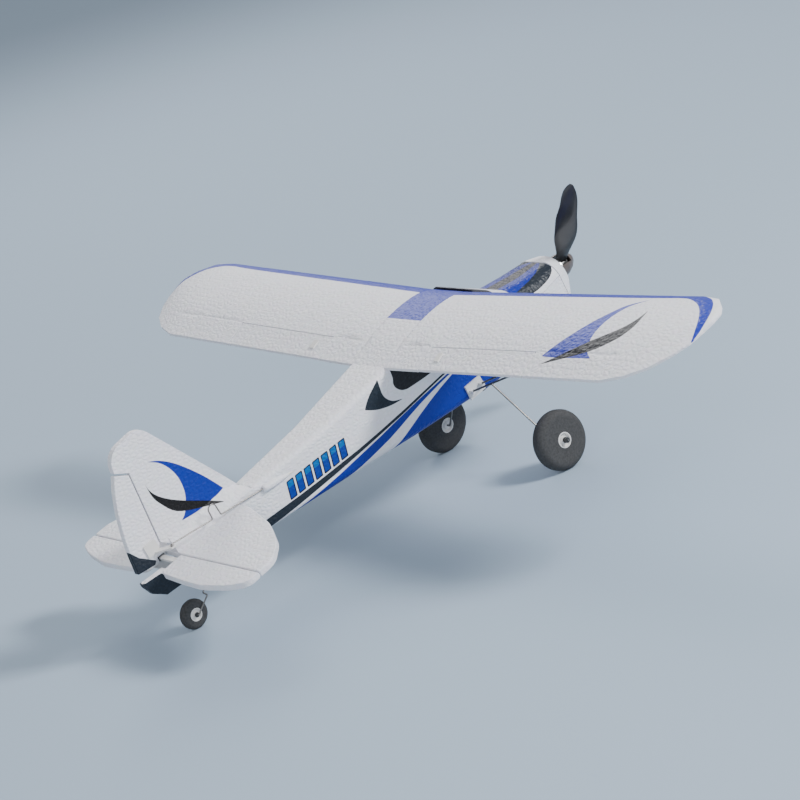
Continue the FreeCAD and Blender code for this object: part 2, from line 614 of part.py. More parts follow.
for side_name, side in SIDES:
    panel = on_panel(side)
    aileron = new_body("aileron_" + side_name)
    middle = side * (AILERON_IN + AILERON_OUT) / 2
    section = draw(new_sketch(aileron, "YZ", middle),
                   [(AILERON_FRONT, SKIN), (0, size("edge_thick")), (0, 0), (AILERON_FRONT + BEVEL, 0)])
    pad(aileron, section, size("aileron_span"), symmetric=True, alias="aileron_span")
    finish(aileron, where=panel)

    horn = new_body("horn_blade_" + side_name)
    foot = (AILERON_FRONT + BEVEL + 1.0, AILERON_FRONT + BEVEL + 10.0)
    blade_points = [(foot[0], 0), (foot[1], 0), (foot[1], -1.4)] + round_the_hole(AILERON_HOLE)
    side_pad(horn, blade_points, side * HORN_X, HORN_THICK)
    side_pad(horn, [(foot[0], 0), (foot[1], 0), (foot[1], -1.2), (foot[0], -1.2)], side * HORN_X, 6.0)
    pocket(horn, circle(new_sketch(horn, "YZ", side * HORN_X), AILERON_HOLE, radius=HORN_HOLE), 10)
    skin_front, skin_rear = (SKIN + (size("edge_thick") - SKIN) * (y - AILERON_FRONT) / -AILERON_FRONT
                             for y in (foot[0] + 1.0, foot[1] - 1.0))
    nub = new_body("horn_backplate_" + side_name)
    side_pad(nub, [(foot[0] + 1, skin_front), (foot[1] - 1, skin_rear), (foot[1] - 1, skin_rear + 1.1),
                   (foot[0] + 1, skin_front + 1.1)], side * HORN_X, 5.0)
    finish(fuse("aileron_horn_" + side_name, [horn, nub]), "aileron_horn_" + side_name, panel)

    servo = box("wing_case_" + side_name, (min(side * SERVO_X[0], side * SERVO_X[1]), WING_SERVO_Y[0], 0),
                (max(side * SERVO_X[0], side * SERVO_X[1]), WING_SERVO_Y[1], size("servo_width")))
    for prop, alias in (("Length", "servo_height"), ("Width", "servo_length"), ("Height", "servo_width")):
        servo.setExpression(prop, "Sizes." + alias)
    boss = rod_along("boss_" + side_name, 4.2, (side * SERVO_X[0], SERVO_AXIS_Y, WING_SERVO_LEVEL),
                     (side * (HORN_X + HORN_THICK / 2 + 0.05), SERVO_AXIS_Y, WING_SERVO_LEVEL))
    finish(fuse("aileron_servo_" + side_name, [servo, boss]), "aileron_servo_" + side_name, panel)

    arm = new_body("aileron_arm_" + side_name)
    arm_hole = (SERVO_AXIS_Y, WING_SERVO_LEVEL - ARM)
    side_pad(arm, arm_outline((SERVO_AXIS_Y, WING_SERVO_LEVEL), arm_hole), side * HORN_X, HORN_THICK)
    pocket(arm, circle(new_sketch(arm, "YZ", side * HORN_X), arm_hole, radius=HORN_HOLE), 10)
    finish(arm, where=panel)

    rod_x = side * (HORN_X - HORN_THICK / 2 - ROD_RADIUS - 0.6)
    tuck = side * (HORN_X + HORN_THICK / 2 + 1.0)
    route = [(tuck, *arm_hole, 0), (rod_x, *arm_hole, 0.8),
             (rod_x, *AILERON_HOLE, 0.8), (tuck, *AILERON_HOLE, 0)]
    finish(bent_wire("aileron_rod_" + side_name, size("rod_diameter"), route), where=panel)

# ------------------------------------------------ tailplane, elevator halves and their joiner
TAIL_SPAN = size("tail_half_span")
BREADTH = TAIL_SPAN / 103.0
ELEVATOR_ROOT = 10.5


def plan_outline(sketch, points):
    """A tail outline given as x, distance behind the elevator hinge line, corner radius."""
    return draw(sketch, [(x * BREADTH if abs(x) > ELEVATOR_ROOT else x, HINGE + y, r) for x, y, r in points])


def chamfered_pad(body, sketch, thick, front_test, depth):
    """A slab whose front edges are bevelled on both faces."""
    slab = pad(body, sketch, thick, symmetric=True)
    doc.recompute()
    edges = names_of("Edge", slab.Shape, front_test)
    bevel = body.newObject("PartDesign::Chamfer", "bevel")
    bevel.Base = (slab, edges)
    bevel.Size = depth
    body.Tip = bevel
    return bevel


FRONT_BEVEL = FIN_HALF * math.tan(math.radians(size("bevel_angle")))
tailplane = new_body("tailplane")
half_outline = [(24, -57, 40), (62, -45.5, 60), (88, -30.5, 30), (103, -14, 18), (103, -GAP / 2, 0)]
outline = [(-x, y, r) for x, y, r in half_outline[::-1]] + half_outline
slab_sketch = plan_outline(new_sketch(tailplane, "XY", TAIL_MID), outline)
pad(tailplane, slab_sketch, size("tail_thick"), symmetric=True, alias="tail_thick")
finish(tailplane)

JOINER = ((-17.0, HINGE + 3.0, TAIL_MID - 1.0), (17.0, HINGE + 7.0, TAIL_MID + 1.0))
for side_name, side in SIDES:
    elevator = new_body("elevator_" + side_name)
    outline = [(ELEVATOR_ROOT, GAP / 2, 0), (103, GAP / 2, 0), (103, 11.8, 9), (88, 18.6, 40), (62, 24.0, 60),
               (40, 23.2, 0), (ELEVATOR_ROOT, 21.0, 5)]
    outline = [(side * x, y, r) for x, y, r in outline]
    slab_sketch = plan_outline(new_sketch(elevator, "XY", TAIL_MID), outline)
    chamfered_pad(elevator, slab_sketch, size("tail_thick"),
                  lambda c: abs(c.y - HINGE - GAP / 2) < 0.01 and abs(c.z - TAIL_MID) > 0.1, FRONT_BEVEL)
    plan_cut(elevator, (-17.1, JOINER[0][1] - 0.05), (17.1, JOINER[1][1] + 0.05), JOINER[0][2] - 0.05,
             JOINER[1][2] + 0.05)
    finish(elevator)
finish(box("elevator_joiner", *JOINER), "elevator_joiner")

ELEVATOR_HORN_X = ROD_X + ROD_RADIUS + 0.6 + HORN_THICK / 2
elevator_hole = ROD_END["elevator"]
horn = new_body("elevator_horn")
blade_points = [(HINGE + 3.0, TAIL_FLOOR), (HINGE + 13.0, TAIL_FLOOR), (HINGE + 13.0, TAIL_FLOOR - 1.4)]
side_pad(horn, blade_points + round_the_hole(elevator_hole), ELEVATOR_HORN_X, HORN_THICK)
side_pad(horn, [(HINGE + 3.0, TAIL_FLOOR), (HINGE + 13.0, TAIL_FLOOR), (HINGE + 13.0, TAIL_FLOOR - 1.2),
                (HINGE + 3.0, TAIL_FLOOR - 1.2)], ELEVATOR_HORN_X, 6.0)
pocket(horn, circle(new_sketch(horn, "YZ", ELEVATOR_HORN_X), elevator_hole, radius=HORN_HOLE), 10)
finish(horn)

# ------------------------------------------------ fin with its saddle, and the rudder
RUDDER_LOW, RUDDER_HIGH = (HINGE + 5.7, 2.0), (HINGE - 0.1, size("fin_height") - 23.5)
RUDDER_RUN = Vector(0, RUDDER_HIGH[0] - RUDDER_LOW[0], RUDDER_HIGH[1] - RUDDER_LOW[1]).normalize()
FIN_TOP = size("fin_height")


def on_hinge(z, behind=0.0):
    """A side-view point on the rudder hinge line at height z."""
    return (RUDDER_LOW[0] + RUDDER_RUN.y / RUDDER_RUN.z * (z - RUDDER_LOW[1]) + behind, z)


fin = new_body("fin")
saddle = []
for y, top in ((HINGE - 72.6, -8.0), (HINGE - 65.0, -1.5), (HINGE - 56.0, 1.5), (HINGE - 30.0, 1.8),
               (HINGE - 1.0, 1.5)):
    half = station(y)[1]
    crest = FIN_HALF - 0.1
    sketch = new_sketch(fin, "XZ", -y)
    saddle.append(draw(sketch, [(-half, TAIL_TOP), (half, TAIL_TOP), (half, TAIL_TOP + 2.5), (crest, top),
                                (-crest, top), (-half, TAIL_TOP + 2.5)]))
loft(fin, saddle)
side_pad(fin, [(HINGE - 68.0, TAIL_TOP + 1.0), (HINGE - 67.5, -2.0), (HINGE - 62.5, 8.0, 8),
               (HINGE - 23.2, FIN_TOP, 13), (HINGE + 7.0, FIN_TOP - 2.0, 14), (HINGE + 9.8, FIN_TOP - 15.9),
               (RUDDER_HIGH[0] - GAP / 2, RUDDER_HIGH[1] + 0.9), on_hinge(RUDDER_LOW[1], -GAP / 2),
               (HINGE - 1.0, -4.0), (HINGE - 1.0, TAIL_TOP + 1.0)], 0.0, size("tail_thick"))
finish(fin)

rudder = new_body("rudder")
rudder_sketch = draw(new_sketch(rudder, "YZ"), [
    on_hinge(RUDDER_LOW[1] - 0.5, GAP / 2), (HINGE + 17.4, TAIL_TOP + 2.5),
    (HINGE + 32.4, TAIL_TOP + 5.2, 0.8), (HINGE + 30.4, 8.4, 60), (HINGE + 27.9, 21.3, 60),
    (HINGE + 22.9, 38.4, 60), (HINGE + 16.9, 53.0, 40),
    (HINGE + 10.9, RUDDER_HIGH[1] + 6.2, 1.0), on_hinge(RUDDER_HIGH[1] - 0.6, GAP / 2)])
chamfered_pad(rudder, rudder_sketch, size("tail_thick"),
              lambda c: abs(c.y - on_hinge(c.z, GAP / 2)[0]) < 0.05 and abs(c.x) > 0.1, FRONT_BEVEL)
finish(rudder)

rudder_hole = (-ROD_X - 0.3, ROD_END["rudder"][0])
RUDDER_HORN_LEVEL = ROD_END["rudder"][1] - ROD_RADIUS - 0.7 - HORN_THICK / 2
rudder_horn = new_body("rudder_horn")
horn_floor = RUDDER_HORN_LEVEL - HORN_THICK / 2
side_pad(rudder_horn, [(HINGE + 9.0, horn_floor), (HINGE + 19.5, horn_floor),
                       (HINGE + 19.5, 8.0, 1.0), (HINGE + 9.0, 8.0, 1.0)], -FIN_HALF - 0.6, 1.2)
arm_sketch = draw(new_sketch(rudder_horn, "XY", RUDDER_HORN_LEVEL),
                  [(-FIN_HALF - 0.1, HINGE + 9.0), (-FIN_HALF - 0.1, HINGE + 15.5), (-7.5, HINGE + 11.5, 3),
                   (rudder_hole[0] + 0.5, rudder_hole[1] + 2.4, 2),
                   (rudder_hole[0] - 2.2, rudder_hole[1] + 2.0, 1.6),
                   (rudder_hole[0] - 2.2, rudder_hole[1] - 2.2, 1.6),
                   (rudder_hole[0] + 2.2, rudder_hole[1] - 2.2, 1.6),
                   (-7.5, HINGE + 7.0, 3)])
pad(rudder_horn, arm_sketch, HORN_THICK, symmetric=True)
hole_sketch = circle(new_sketch(rudder_horn, "XY", RUDDER_HORN_LEVEL), rudder_hole, radius=HORN_HOLE)
pocket(rudder_horn, hole_sketch, 10)
finish(rudder_horn)

# ------------------------------------------------ cabin servos, their tray and the tail pushrods
SERVO_TOP = ARM_LEVEL - HORN_THICK / 2 - 1.0
SERVO_SHAFT_X = ROD_X + 0.3 - ARM
TRAY_TOP = SERVO_TOP - 5.0
TRAY_Y = (SERVO_Y["elevator"] - 13.0, SERVO_Y["rudder"] + 21.0)
tray_half = station(TRAY_Y[1])[1] - WALL - 0.2
tray = box("tray_plate", (-tray_half, TRAY_Y[0], TRAY_TOP - 1.5), (tray_half, TRAY_Y[1], TRAY_TOP))
tray_holes = []
for name in ("rudder", "elevator"):
    side = ROD_SIDE[name]
    shaft = (side * SERVO_SHAFT_X, SERVO_Y[name])
    low = (shaft[0] - size("servo_width") / 2, shaft[1] - 5.0, SERVO_TOP - size("servo_height"))
    high = (shaft[0] + size("servo_width") / 2, shaft[1] - 5.0 + size("servo_length"), SERVO_TOP)
    case = box(name + "_case", low, high)
    for prop, alias in (("Length", "servo_width"), ("Width", "servo_length"), ("Height", "servo_height")):
        case.setExpression(prop, "Sizes." + alias)
    ears = box(name + "_ears", (low[0], low[1] - 3.8, TRAY_TOP), (high[0], high[1] + 3.8, TRAY_TOP + 1.0))
    boss = rod_along(name + "_boss", 4.2, (*shaft, SERVO_TOP - 0.5), (*shaft, SERVO_TOP + 0.95))
    finish(fuse(name + "_servo", [case, ears, boss]), name + "_servo")
    tray_holes.append(box(name + "_slot", (low[0] - 0.1, low[1] - 0.1, TRAY_TOP - 3),
                          (high[0] + 0.1, high[1] + 0.1, TRAY_TOP + 1)))
    arm = new_body(name + "_arm")
    hole = (side * (ROD_X + 0.3), SERVO_Y[name])
    pad(arm, draw(new_sketch(arm, "XY", ARM_LEVEL), arm_outline(shaft, hole)), HORN_THICK, symmetric=True)
    pocket(arm, circle(new_sketch(arm, "XY", ARM_LEVEL), hole, radius=HORN_HOLE), 10)
    finish(arm)
finish(cut("servo_tray", tray, tray_holes), "servo_tray")

KINK_Y = (HINGE - 40.0, HINGE - 32.6)
rudder_x = -ROD_X
route = [(rudder_x, SERVO_Y["rudder"], ROD_TAIL, 0), (rudder_x, SERVO_Y["rudder"], ROD_START, 0.7),
         (rudder_x, KINK_Y[0], rod_level("rudder", KINK_Y[0]), 1.2),
         (rudder_x, KINK_Y[0] + 0.4, rod_level("rudder", KINK_Y[0]) + 10.5, 3.2),
         (rudder_x, KINK_Y[1] - 0.4, rod_level("rudder", KINK_Y[1]) + 10.0, 3.2),
         (rudder_x, KINK_Y[1], rod_level("rudder", KINK_Y[1]), 1.2),
         (rudder_x, ROD_END["rudder"][0], ROD_END["rudder"][1], 0.7),
         (rudder_x, ROD_END["rudder"][0], RUDDER_HORN_LEVEL - HORN_THICK / 2 - 1.0, 0)]
finish(bent_wire("rudder_rod", size("rod_diameter"), route))
route = [(ROD_X, SERVO_Y["elevator"], ROD_TAIL, 0), (ROD_X, SERVO_Y["elevator"], ROD_START, 0.7),
         (ROD_X, *ROD_END["elevator"], 0.8),
         (ELEVATOR_HORN_X + HORN_THICK / 2 + 1.0, *ROD_END["elevator"], 0)]
finish(bent_wire("elevator_rod", size("rod_diameter"), route))

guides = []
for name in ("rudder", "elevator"):
    x = ROD_SIDE[name] * ROD_X
    ends = [(x, y, rod_level(name, y)) for y in (GUIDE_START, GUIDE_END)]
    tube = rod_along(name + "_tube", 2 * GUIDE_RADIUS, *ends)
    bore_ends = [(x, y, rod_level(name, y)) for y in (GUIDE_START - 2, GUIDE_END + 2)]
    guides.append(cut(name + "_guide", tube, [rod_along(name + "_bore", 2 * ROD_RADIUS + 0.5, *bore_ends)]))
finish(fuse("rod_guides", guides), "rod_guides")

# ------------------------------------------------ radio and battery
BATTERY_Y = (HATCH_REAR - 20.0, HATCH_REAR - 20.0 + size("battery_length"))
battery_floor = station(BATTERY_Y[0])[3] + WALL + 2.0
shelf_half = station(BATTERY_Y[0])[1] - WALL - 5.6
finish(box("battery_shelf", (-shelf_half, BATTERY_Y[0] - 4.0, battery_floor - 1.5),
           (shelf_half, BATTERY_Y[1] + 2.0, battery_floor)), "battery_shelf")
battery = box("battery", (-size("battery_width") / 2, BATTERY_Y[0], battery_floor),
              (size("battery_width") / 2, BATTERY_Y[1], battery_floor + size("battery_height")))
for prop, alias in (("Length", "battery_width"), ("Width", "battery_length"), ("Height", "battery_height")):
    battery.setExpression(prop, "Sizes." + alias)
finish(battery, "battery")
strap_low = (-size("battery_width") / 2 - 1.0, sum(BATTERY_Y) / 2 - 5.0, battery_floor)
strap_high = (size("battery_width") / 2 + 1.0, sum(BATTERY_Y) / 2 + 5.0,
              battery_floor + size("battery_height") + 1.0)
strap_inside = box("strap_inside", (strap_low[0] + 1.0, strap_low[1] - 1, strap_low[2] - 1),
                   (strap_high[0] - 1.0, strap_high[1] + 1, strap_high[2] - 1.0))
finish(cut("battery_strap", box("strap_block", strap_low, strap_high), [strap_inside]), "battery_strap")
finish(box("receiver", (-8.0, TRAY_Y[0] - 34.0, TRAY_TOP - 12.0),
           (8.0, TRAY_Y[0] - 4.0, TRAY_TOP - 4.0)), "receiver")

# ------------------------------------------------ main gear: one bent wire, its plate and the wheels
WIRE = size("gear_wire")
HALF_TRACK = size("track") / 2
TYRE_HALF = size("tyre_width") / 2
CAMBER = math.radians(size("camber"))
GEAR_LEVEL = PLATE_TOP + WIRE / 2


def axle_point(side, out):
    """A point on a main axle, measured outwards from the wheel's centre."""
    return (side * (HALF_TRACK + out * math.cos(CAMBER)), GEAR_Y, -size("gear_drop") + out * math.sin(CAMBER))


AXLE_END = TYRE_HALF + 4.4
half_route = [(*axle_point(1, AXLE_END), 0), (*axle_point(1, -TYRE_HALF - 2.8), 2.2),
              (20.5, GEAR_Y, GEAR_LEVEL, 3.0)]
wire_route = half_route + [(-x, y, z, r) for x, y, z, r in half_route[::-1]]
finish(bent_wire("main_gear_wire", WIRE, wire_route))

gear_plate = box("plate_block", (-PLATE_HALF[0], GEAR_Y - PLATE_HALF[1], PLATE_TOP - 2.2),
                 (PLATE_HALF[0], GEAR_Y + PLATE_HALF[1], PLATE_TOP))
plate_screws = [(x, GEAR_Y + y) for x in (-11.0, 11.0) for y in (-4.2, 4.2)]
HEAD_SEAT = PLATE_TOP - 1.2
plate_holes = []
for i, at in enumerate(plate_screws):
    plate_holes.append(rod_along("plate_hole%d" % i, 1.6, (*at, PLATE_TOP - 4), (*at, PLATE_TOP + 1)))
    plate_holes.append(rod_along("plate_sink%d" % i, 3.2, (*at, PLATE_TOP - 4), (*at, HEAD_SEAT)))
finish(cut("gear_plate", gear_plate, plate_holes), "gear_plate")


def wheel_bodies(name, diameter, width, hub, bore_radius, where):
    """A foam tyre with round shoulders on a plastic hub, both turned about the axle."""
    radius, half, hub_radius = diameter / 2, width / 2, hub / 2
    tyre = new_body(name + "_tyre")
    shoulder = 0.44 * width
    revolve(tyre, draw(new_sketch(tyre, "XY"), [(-half, hub_radius), (half, hub_radius),
                                                (half, radius, shoulder), (-half, radius, shoulder)]))
    finish(tyre, where=where)
    rim = new_body(name + "_hub")
    dish = 0.12 * width
    revolve(rim, draw(new_sketch(rim, "XY"), [
        (-half, bore_radius), (half, bore_radius), (half, 0.45 * hub_radius),
        (half - dish, 0.55 * hub_radius),
        (half - dish, 0.8 * hub_radius), (half + 0.2, 0.86 * hub_radius), (half + 0.2, hub_radius),
        (-half - 0.2, hub_radius), (-half - 0.2, 0.86 * hub_radius), (dish - half, 0.8 * hub_radius),
        (dish - half, 0.55 * hub_radius), (-half, 0.45 * hub_radius)]))
    finish(rim, where=where)


WHEEL_AT = {}
collars = []
for side_name, side in SIDES:
    tilt = Rotation(Vector(0, 1, 0), -side * size("camber"))
    where = Placement(Vector(*axle_point(side, 0)), tilt)
    WHEEL_AT[side_name] = where
    wheel_bodies(side_name + "_wheel", size("tyre_diameter"), size("tyre_width"), size("hub_diameter"),
                 WIRE / 2 + size("running_gap"), where)
    ends = axle_point(side, TYRE_HALF + 0.5), axle_point(side, TYRE_HALF + 3.4)
    bore = rod_along("collar_bore_" + side_name, WIRE, axle_point(side, 0), axle_point(side, 15))
    collars.append(cut("collar_" + side_name, rod_along("collar_block_" + side_name, 4.4, *ends), [bore]))

# ------------------------------------------------ tail wheel on its own raked wire
TAIL_WIRE = size("tail_wire")
TAIL_HALF = size("tail_tyre_width") / 2
TAIL_WHEEL_Y = HINGE + 10.5
TAIL_WHEEL_Z = -size("tail_drop")
LEG_X = -TAIL_HALF - 2.8
RAKE = (TAIL_WHEEL_Z + 36.3) / (TAIL_WHEEL_Y - HINGE + 31.0)


def tail_leg(y):
    """Height of the raked tail wheel leg at y."""
    return TAIL_WHEEL_Z + RAKE * (y - TAIL_WHEEL_Y)


JOG_Y = HINGE - 3.8
wire_start = (0, HINGE - 29.4, tail_leg(HINGE - 29.4))
tail_route = [(*wire_start, 0), (0, JOG_Y, tail_leg(JOG_Y), 1.2),
              (LEG_X, JOG_Y + 0.6, tail_leg(JOG_Y + 0.6), 1.2),
              (LEG_X, TAIL_WHEEL_Y, TAIL_WHEEL_Z, 1.1), (TAIL_HALF + 2.8, TAIL_WHEEL_Y, TAIL_WHEEL_Z, 0)]
finish(bent_wire("tail_gear_wire", TAIL_WIRE, tail_route))
tail_where = Placement(Vector(0, TAIL_WHEEL_Y, TAIL_WHEEL_Z), Rotation())
wheel_bodies("tail_wheel", size("tail_tyre_diameter"), size("tail_tyre_width"), size("tail_hub_diameter"),
             TAIL_WIRE / 2 + size("running_gap"), tail_where)
for label, start, end in (("tail_outer", TAIL_HALF + 0.5, TAIL_HALF + 2.3), ("tail_inner", -TAIL_HALF - 1.4,
                                                                            -TAIL_HALF - 0.5)):
    ends = [(x, TAIL_WHEEL_Y, TAIL_WHEEL_Z) for x in (start, end, start - 5, end + 5)]
    collars.append(cut("collar_" + label, rod_along("collar_block_" + label, 3.6, ends[0], ends[1]),
                       [rod_along("collar_bore_" + label, TAIL_WIRE, ends[2], ends[3])]))
finish(fuse("wheel_collars", collars), "wheel_collars")

bracket = box("bracket_block", (*BRACKET[0], BRACKET_TOP - 4.2), (*BRACKET[1], BRACKET_TOP))
wire_hole = rod_along("bracket_bore", TAIL_WIRE + 0.02, (0, HINGE - 45.0, tail_leg(HINGE - 45.0)),
                      (0, JOG_Y, tail_leg(JOG_Y)))
finish(cut("tail_bracket", bracket, [wire_hole]), "tail_bracket")

# ------------------------------------------------ wing struts, their fuselage plates and wing clips
plates, struts, clips = [], [], []
REACH = size("strut_reach")
clip_level = WING_FLOOR + (REACH - CENTRE) * PANEL_RISE
for side_name, side in SIDES:
    low_x, high_x = sorted((side * STRUT_PLATE[0], side * (STRUT_PLATE[0] + STRUT_PLATE[1])))
    plate = box("strut_plate_" + side_name, (low_x, STRUT_Y - 8.0, STRUT_LEVEL - 6.0),
                (high_x, STRUT_Y + 8.0, STRUT_LEVEL + 6.0))
    lugs = []
    for number, (near_y, far_y) in enumerate(((-5.0, -12.0), (5.0, 12.0))):
        root_x = side * (STRUT_PLATE[0] + STRUT_PLATE[1] + 2.2)
        lug_low, lug_high = sorted((side * (STRUT_PLATE[0] + STRUT_PLATE[1] - 0.5), root_x + side * 1.2))
        lugs.append(box("strut_lug_%s%d" % (side_name, number),
                        (lug_low, STRUT_Y + near_y - 1.6, STRUT_LEVEL - 1.6),
                        (lug_high, STRUT_Y + near_y + 1.6, STRUT_LEVEL + 1.6)))
        foot = Vector(root_x + side * 1.0, STRUT_Y + near_y, STRUT_LEVEL + 0.8)
        head = Vector(side * REACH, STRUT_Y + far_y, clip_level - 2.2)
        struts.append(rod_along("strut_%s%d" % (side_name, number), size("strut_diameter"), foot, head))
        clips.append(box("clip_%s%d" % (side_name, number),
                         (side * REACH - 4.0, STRUT_Y + far_y - 2.5, clip_level - 3.4),
                         (side * REACH + 4.0, STRUT_Y + far_y + 2.5, clip_level - 0.2)))
    plates.append(fuse("strut_plate_" + side_name, [plate] + lugs))
finish(fuse("strut_plates", plates), "strut_plates")
finish(fuse("wing_struts", struts), "wing_struts")
finish(fuse("strut_clips", clips), "strut_clips")

# ------------------------------------------------ screws: wing bars, gear plate and motor mount
screws = []
for i, y in enumerate(WING_SCREW_Y):
    shank = rod_along("wing_shank%d" % i, 2 * SCREW_RADIUS,
                      (0, y, WING_FLOOR - 4.5), (0, y, WING_FLOOR + 4.0))
    head = rod_along("wing_head%d" % i, 5.6, (0, y, WING_FLOOR - 6.2), (0, y, WING_FLOOR - 4.0))
    screws.append(fuse("wing_screw%d" % i, [shank, head]))
for i, at in enumerate(plate_screws):
    shank = rod_along("plate_shank%d" % i, 1.6, (*at, HEAD_SEAT - 0.5), (*at, PLATE_TOP - 0.05))
    head = rod_along("plate_head%d" % i, 3.0, (*at, HEAD_SEAT - 0.9), (*at, HEAD_SEAT))
    screws.append(fuse("plate_screw%d" % i, [shank, head]))
finish(fuse("screws", screws), "screws")

# ------------------------------------------------ stand the aeroplane on its three wheels
main_reach = (size("tyre_diameter") / 2 - 0.44 * size("tyre_width")) * math.cos(CAMBER)
main_reach += 0.44 * size("tyre_width") + 0.06 * size("tyre_width") * math.sin(CAMBER)
tail_reach = size("tail_tyre_diameter") / 2
base = math.hypot(TAIL_WHEEL_Y - GEAR_Y, TAIL_WHEEL_Z + size("gear_drop"))
stance = math.atan2(TAIL_WHEEL_Z + size("gear_drop"), TAIL_WHEEL_Y - GEAR_Y)
stance += math.asin((main_reach - tail_reach) / base)
lean_back = Rotation(Vector(1, 0, 0), -math.degrees(stance))
doc.recompute()


def stood(placement):
    """Check where the finished sub-parts reach when they are placed."""
    reach = FreeCAD.BoundBox()
    for item, where in finished:
        shape = item.Shape.copy()
        shape.Placement = placement.multiply(where).multiply(shape.Placement)
        reach.add(shape.optimalBoundingBox(True, False))
    return reach


main_axle = lean_back.multVec(Vector(0, GEAR_Y, -size("gear_drop")))
tilted = stood(Placement(Vector(), lean_back))
ground = Placement(Vector(0, -(tilted.YMin + tilted.YMax) / 2, main_reach - main_axle.z), lean_back)

for item, where in finished:
    item.Placement = ground.multiply(where).multiply(item.Placement)
doc.recompute()

# ------------------------------------------------ check everything, then write each sub-part
for item in doc.Objects:
    if "Invalid" in item.State or "Error" in item.State:
        raise RuntimeError("%s (%s) did not build" % (item.Name, item.Label))
for item, where in finished:
    if item.Shape.isNull() or not item.Shape.isValid() or item.Shape.Volume <= 0:
        raise RuntimeError("%s is not a sound solid" % item.Label)
for item, where in finished:
    item.Shape.exportStep("parts/%s.step" % item.Label)
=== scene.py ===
import json
import math

import bmesh
import bpy
import numpy as np
from mathutils import Matrix, Vector


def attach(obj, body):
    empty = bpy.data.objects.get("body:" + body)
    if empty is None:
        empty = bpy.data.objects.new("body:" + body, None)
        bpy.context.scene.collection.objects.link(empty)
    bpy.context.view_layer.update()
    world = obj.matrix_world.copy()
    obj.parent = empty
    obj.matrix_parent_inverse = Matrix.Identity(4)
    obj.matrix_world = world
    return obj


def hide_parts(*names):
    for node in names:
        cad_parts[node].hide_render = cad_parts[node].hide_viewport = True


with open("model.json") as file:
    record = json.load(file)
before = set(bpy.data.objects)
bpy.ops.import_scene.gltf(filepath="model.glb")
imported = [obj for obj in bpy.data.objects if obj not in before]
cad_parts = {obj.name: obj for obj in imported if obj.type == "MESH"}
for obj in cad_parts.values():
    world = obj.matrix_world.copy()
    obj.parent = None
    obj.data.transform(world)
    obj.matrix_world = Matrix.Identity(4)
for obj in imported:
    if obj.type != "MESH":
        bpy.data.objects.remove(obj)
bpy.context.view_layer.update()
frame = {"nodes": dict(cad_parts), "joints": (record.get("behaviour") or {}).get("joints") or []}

# The fuselage is two shells of moulded bead foam, glued along the centre line from nose to tail.
# The mould leaves flat sides, rounded corners and a pattern of pressed beads all over.
# Slate, royal blue and white bands are printed along both sides, with a dark cabin window.
axles = {joint["name"]: Vector(joint["pos_m"]) for joint in frame["joints"] if "pos_m" in joint}
MAIN_AXLE = Vector((69.1, -75.7, -118.1))
TAIL_AXLE = Vector((0.0, 220.1, -59.0))
gear_line = TAIL_AXLE - MAIN_AXLE
stood_line = axles["tail_wheel_spin"] - axles["left_wheel_spin"]
lean = math.atan2(stood_line.z, stood_line.y) - math.atan2(gear_line.z, gear_line.y)
lean_back = Matrix.Rotation(lean, 4, "X")
stand = Matrix.Translation(axles["left_wheel_spin"] - lean_back @ (MAIN_AXLE / 1000))
flight = stand @ lean_back @ Matrix.Scale(0.001, 4)
from_flight = np.array(flight.inverted())

CREST = [(-174, -29.0), (-150, -26.0), (-127, -21.5), (-109, -8.5), (-97, 1.0), (-75.7, -1.5), (1, -1.5),
         (69.9, -7.0), (243, -8.0)]
FOAM_WHITE = (0.80, 0.80, 0.845, 1)
ROYAL = (0.006, 0.020, 0.27, 1)
SLATE = (0.013, 0.019, 0.028, 1)
WINDOW = (0.012, 0.012, 0.014, 1)
LINE_BLACK = (0.004, 0.004, 0.005, 1)


def flight_places(mesh):
    """Every point of a mesh in the level flight axes, in millimetres."""
    places = np.empty(len(mesh.vertices) * 3)
    mesh.vertices.foreach_get("co", places)
    places = places.reshape(-1, 3)
    return places @ from_flight[:3, :3].T + from_flight[:3, 3]


def flight_normals(mesh):
    facing = np.empty(len(mesh.vertices) * 3)
    mesh.vertices.foreach_get("normal", facing)
    return facing.reshape(-1, 3) @ (from_flight[:3, :3].T / 1000)


def inside(across, along, outline):
    """Distance in millimetres from each point to an outline, positive inside it."""
    corners = np.array(outline, float)
    points = np.stack([across, along], 1)
    nearest = np.full(len(points), 1e9)
    within = np.zeros(len(points), bool)
    for start, end in zip(corners, np.roll(corners, -1, 0)):
        run = end - start
        share = np.clip(((points - start) @ run) / max(run @ run, 1e-9), 0, 1)
        nearest = np.minimum(nearest, np.linalg.norm(points - start - share[:, None] * run, axis=1))
        rising = (start[1] > points[:, 1]) != (end[1] > points[:, 1])
        lift = run[1] if abs(run[1]) > 1e-9 else 1e-9
        within ^= rising & (points[:, 0] < start[0] + run[0] * (points[:, 1] - start[1]) / lift)
    return np.where(within, nearest, -nearest)


def eased(outline, hard=()):
    """A printed outline with its corners swept into curves, except at the hard ones."""
    smooth = []
    count = len(outline)
    for i in range(count):
        before, start, end, after = (np.array(outline[(i + k) % count], float) for k in (-1, 0, 1, 2))
        if i in hard:
            before = start
        if (i + 1) % count in hard:
            after = end
        for t in (0, 0.25, 0.5, 0.75):
            bend = (2 * before - 5 * start + 4 * end - after) * t * t
            twist = (3 * start - before - 3 * end + after) * t ** 3
            smooth.append(tuple(0.5 * (2 * start + (end - before) * t + bend + twist)))
    return smooth


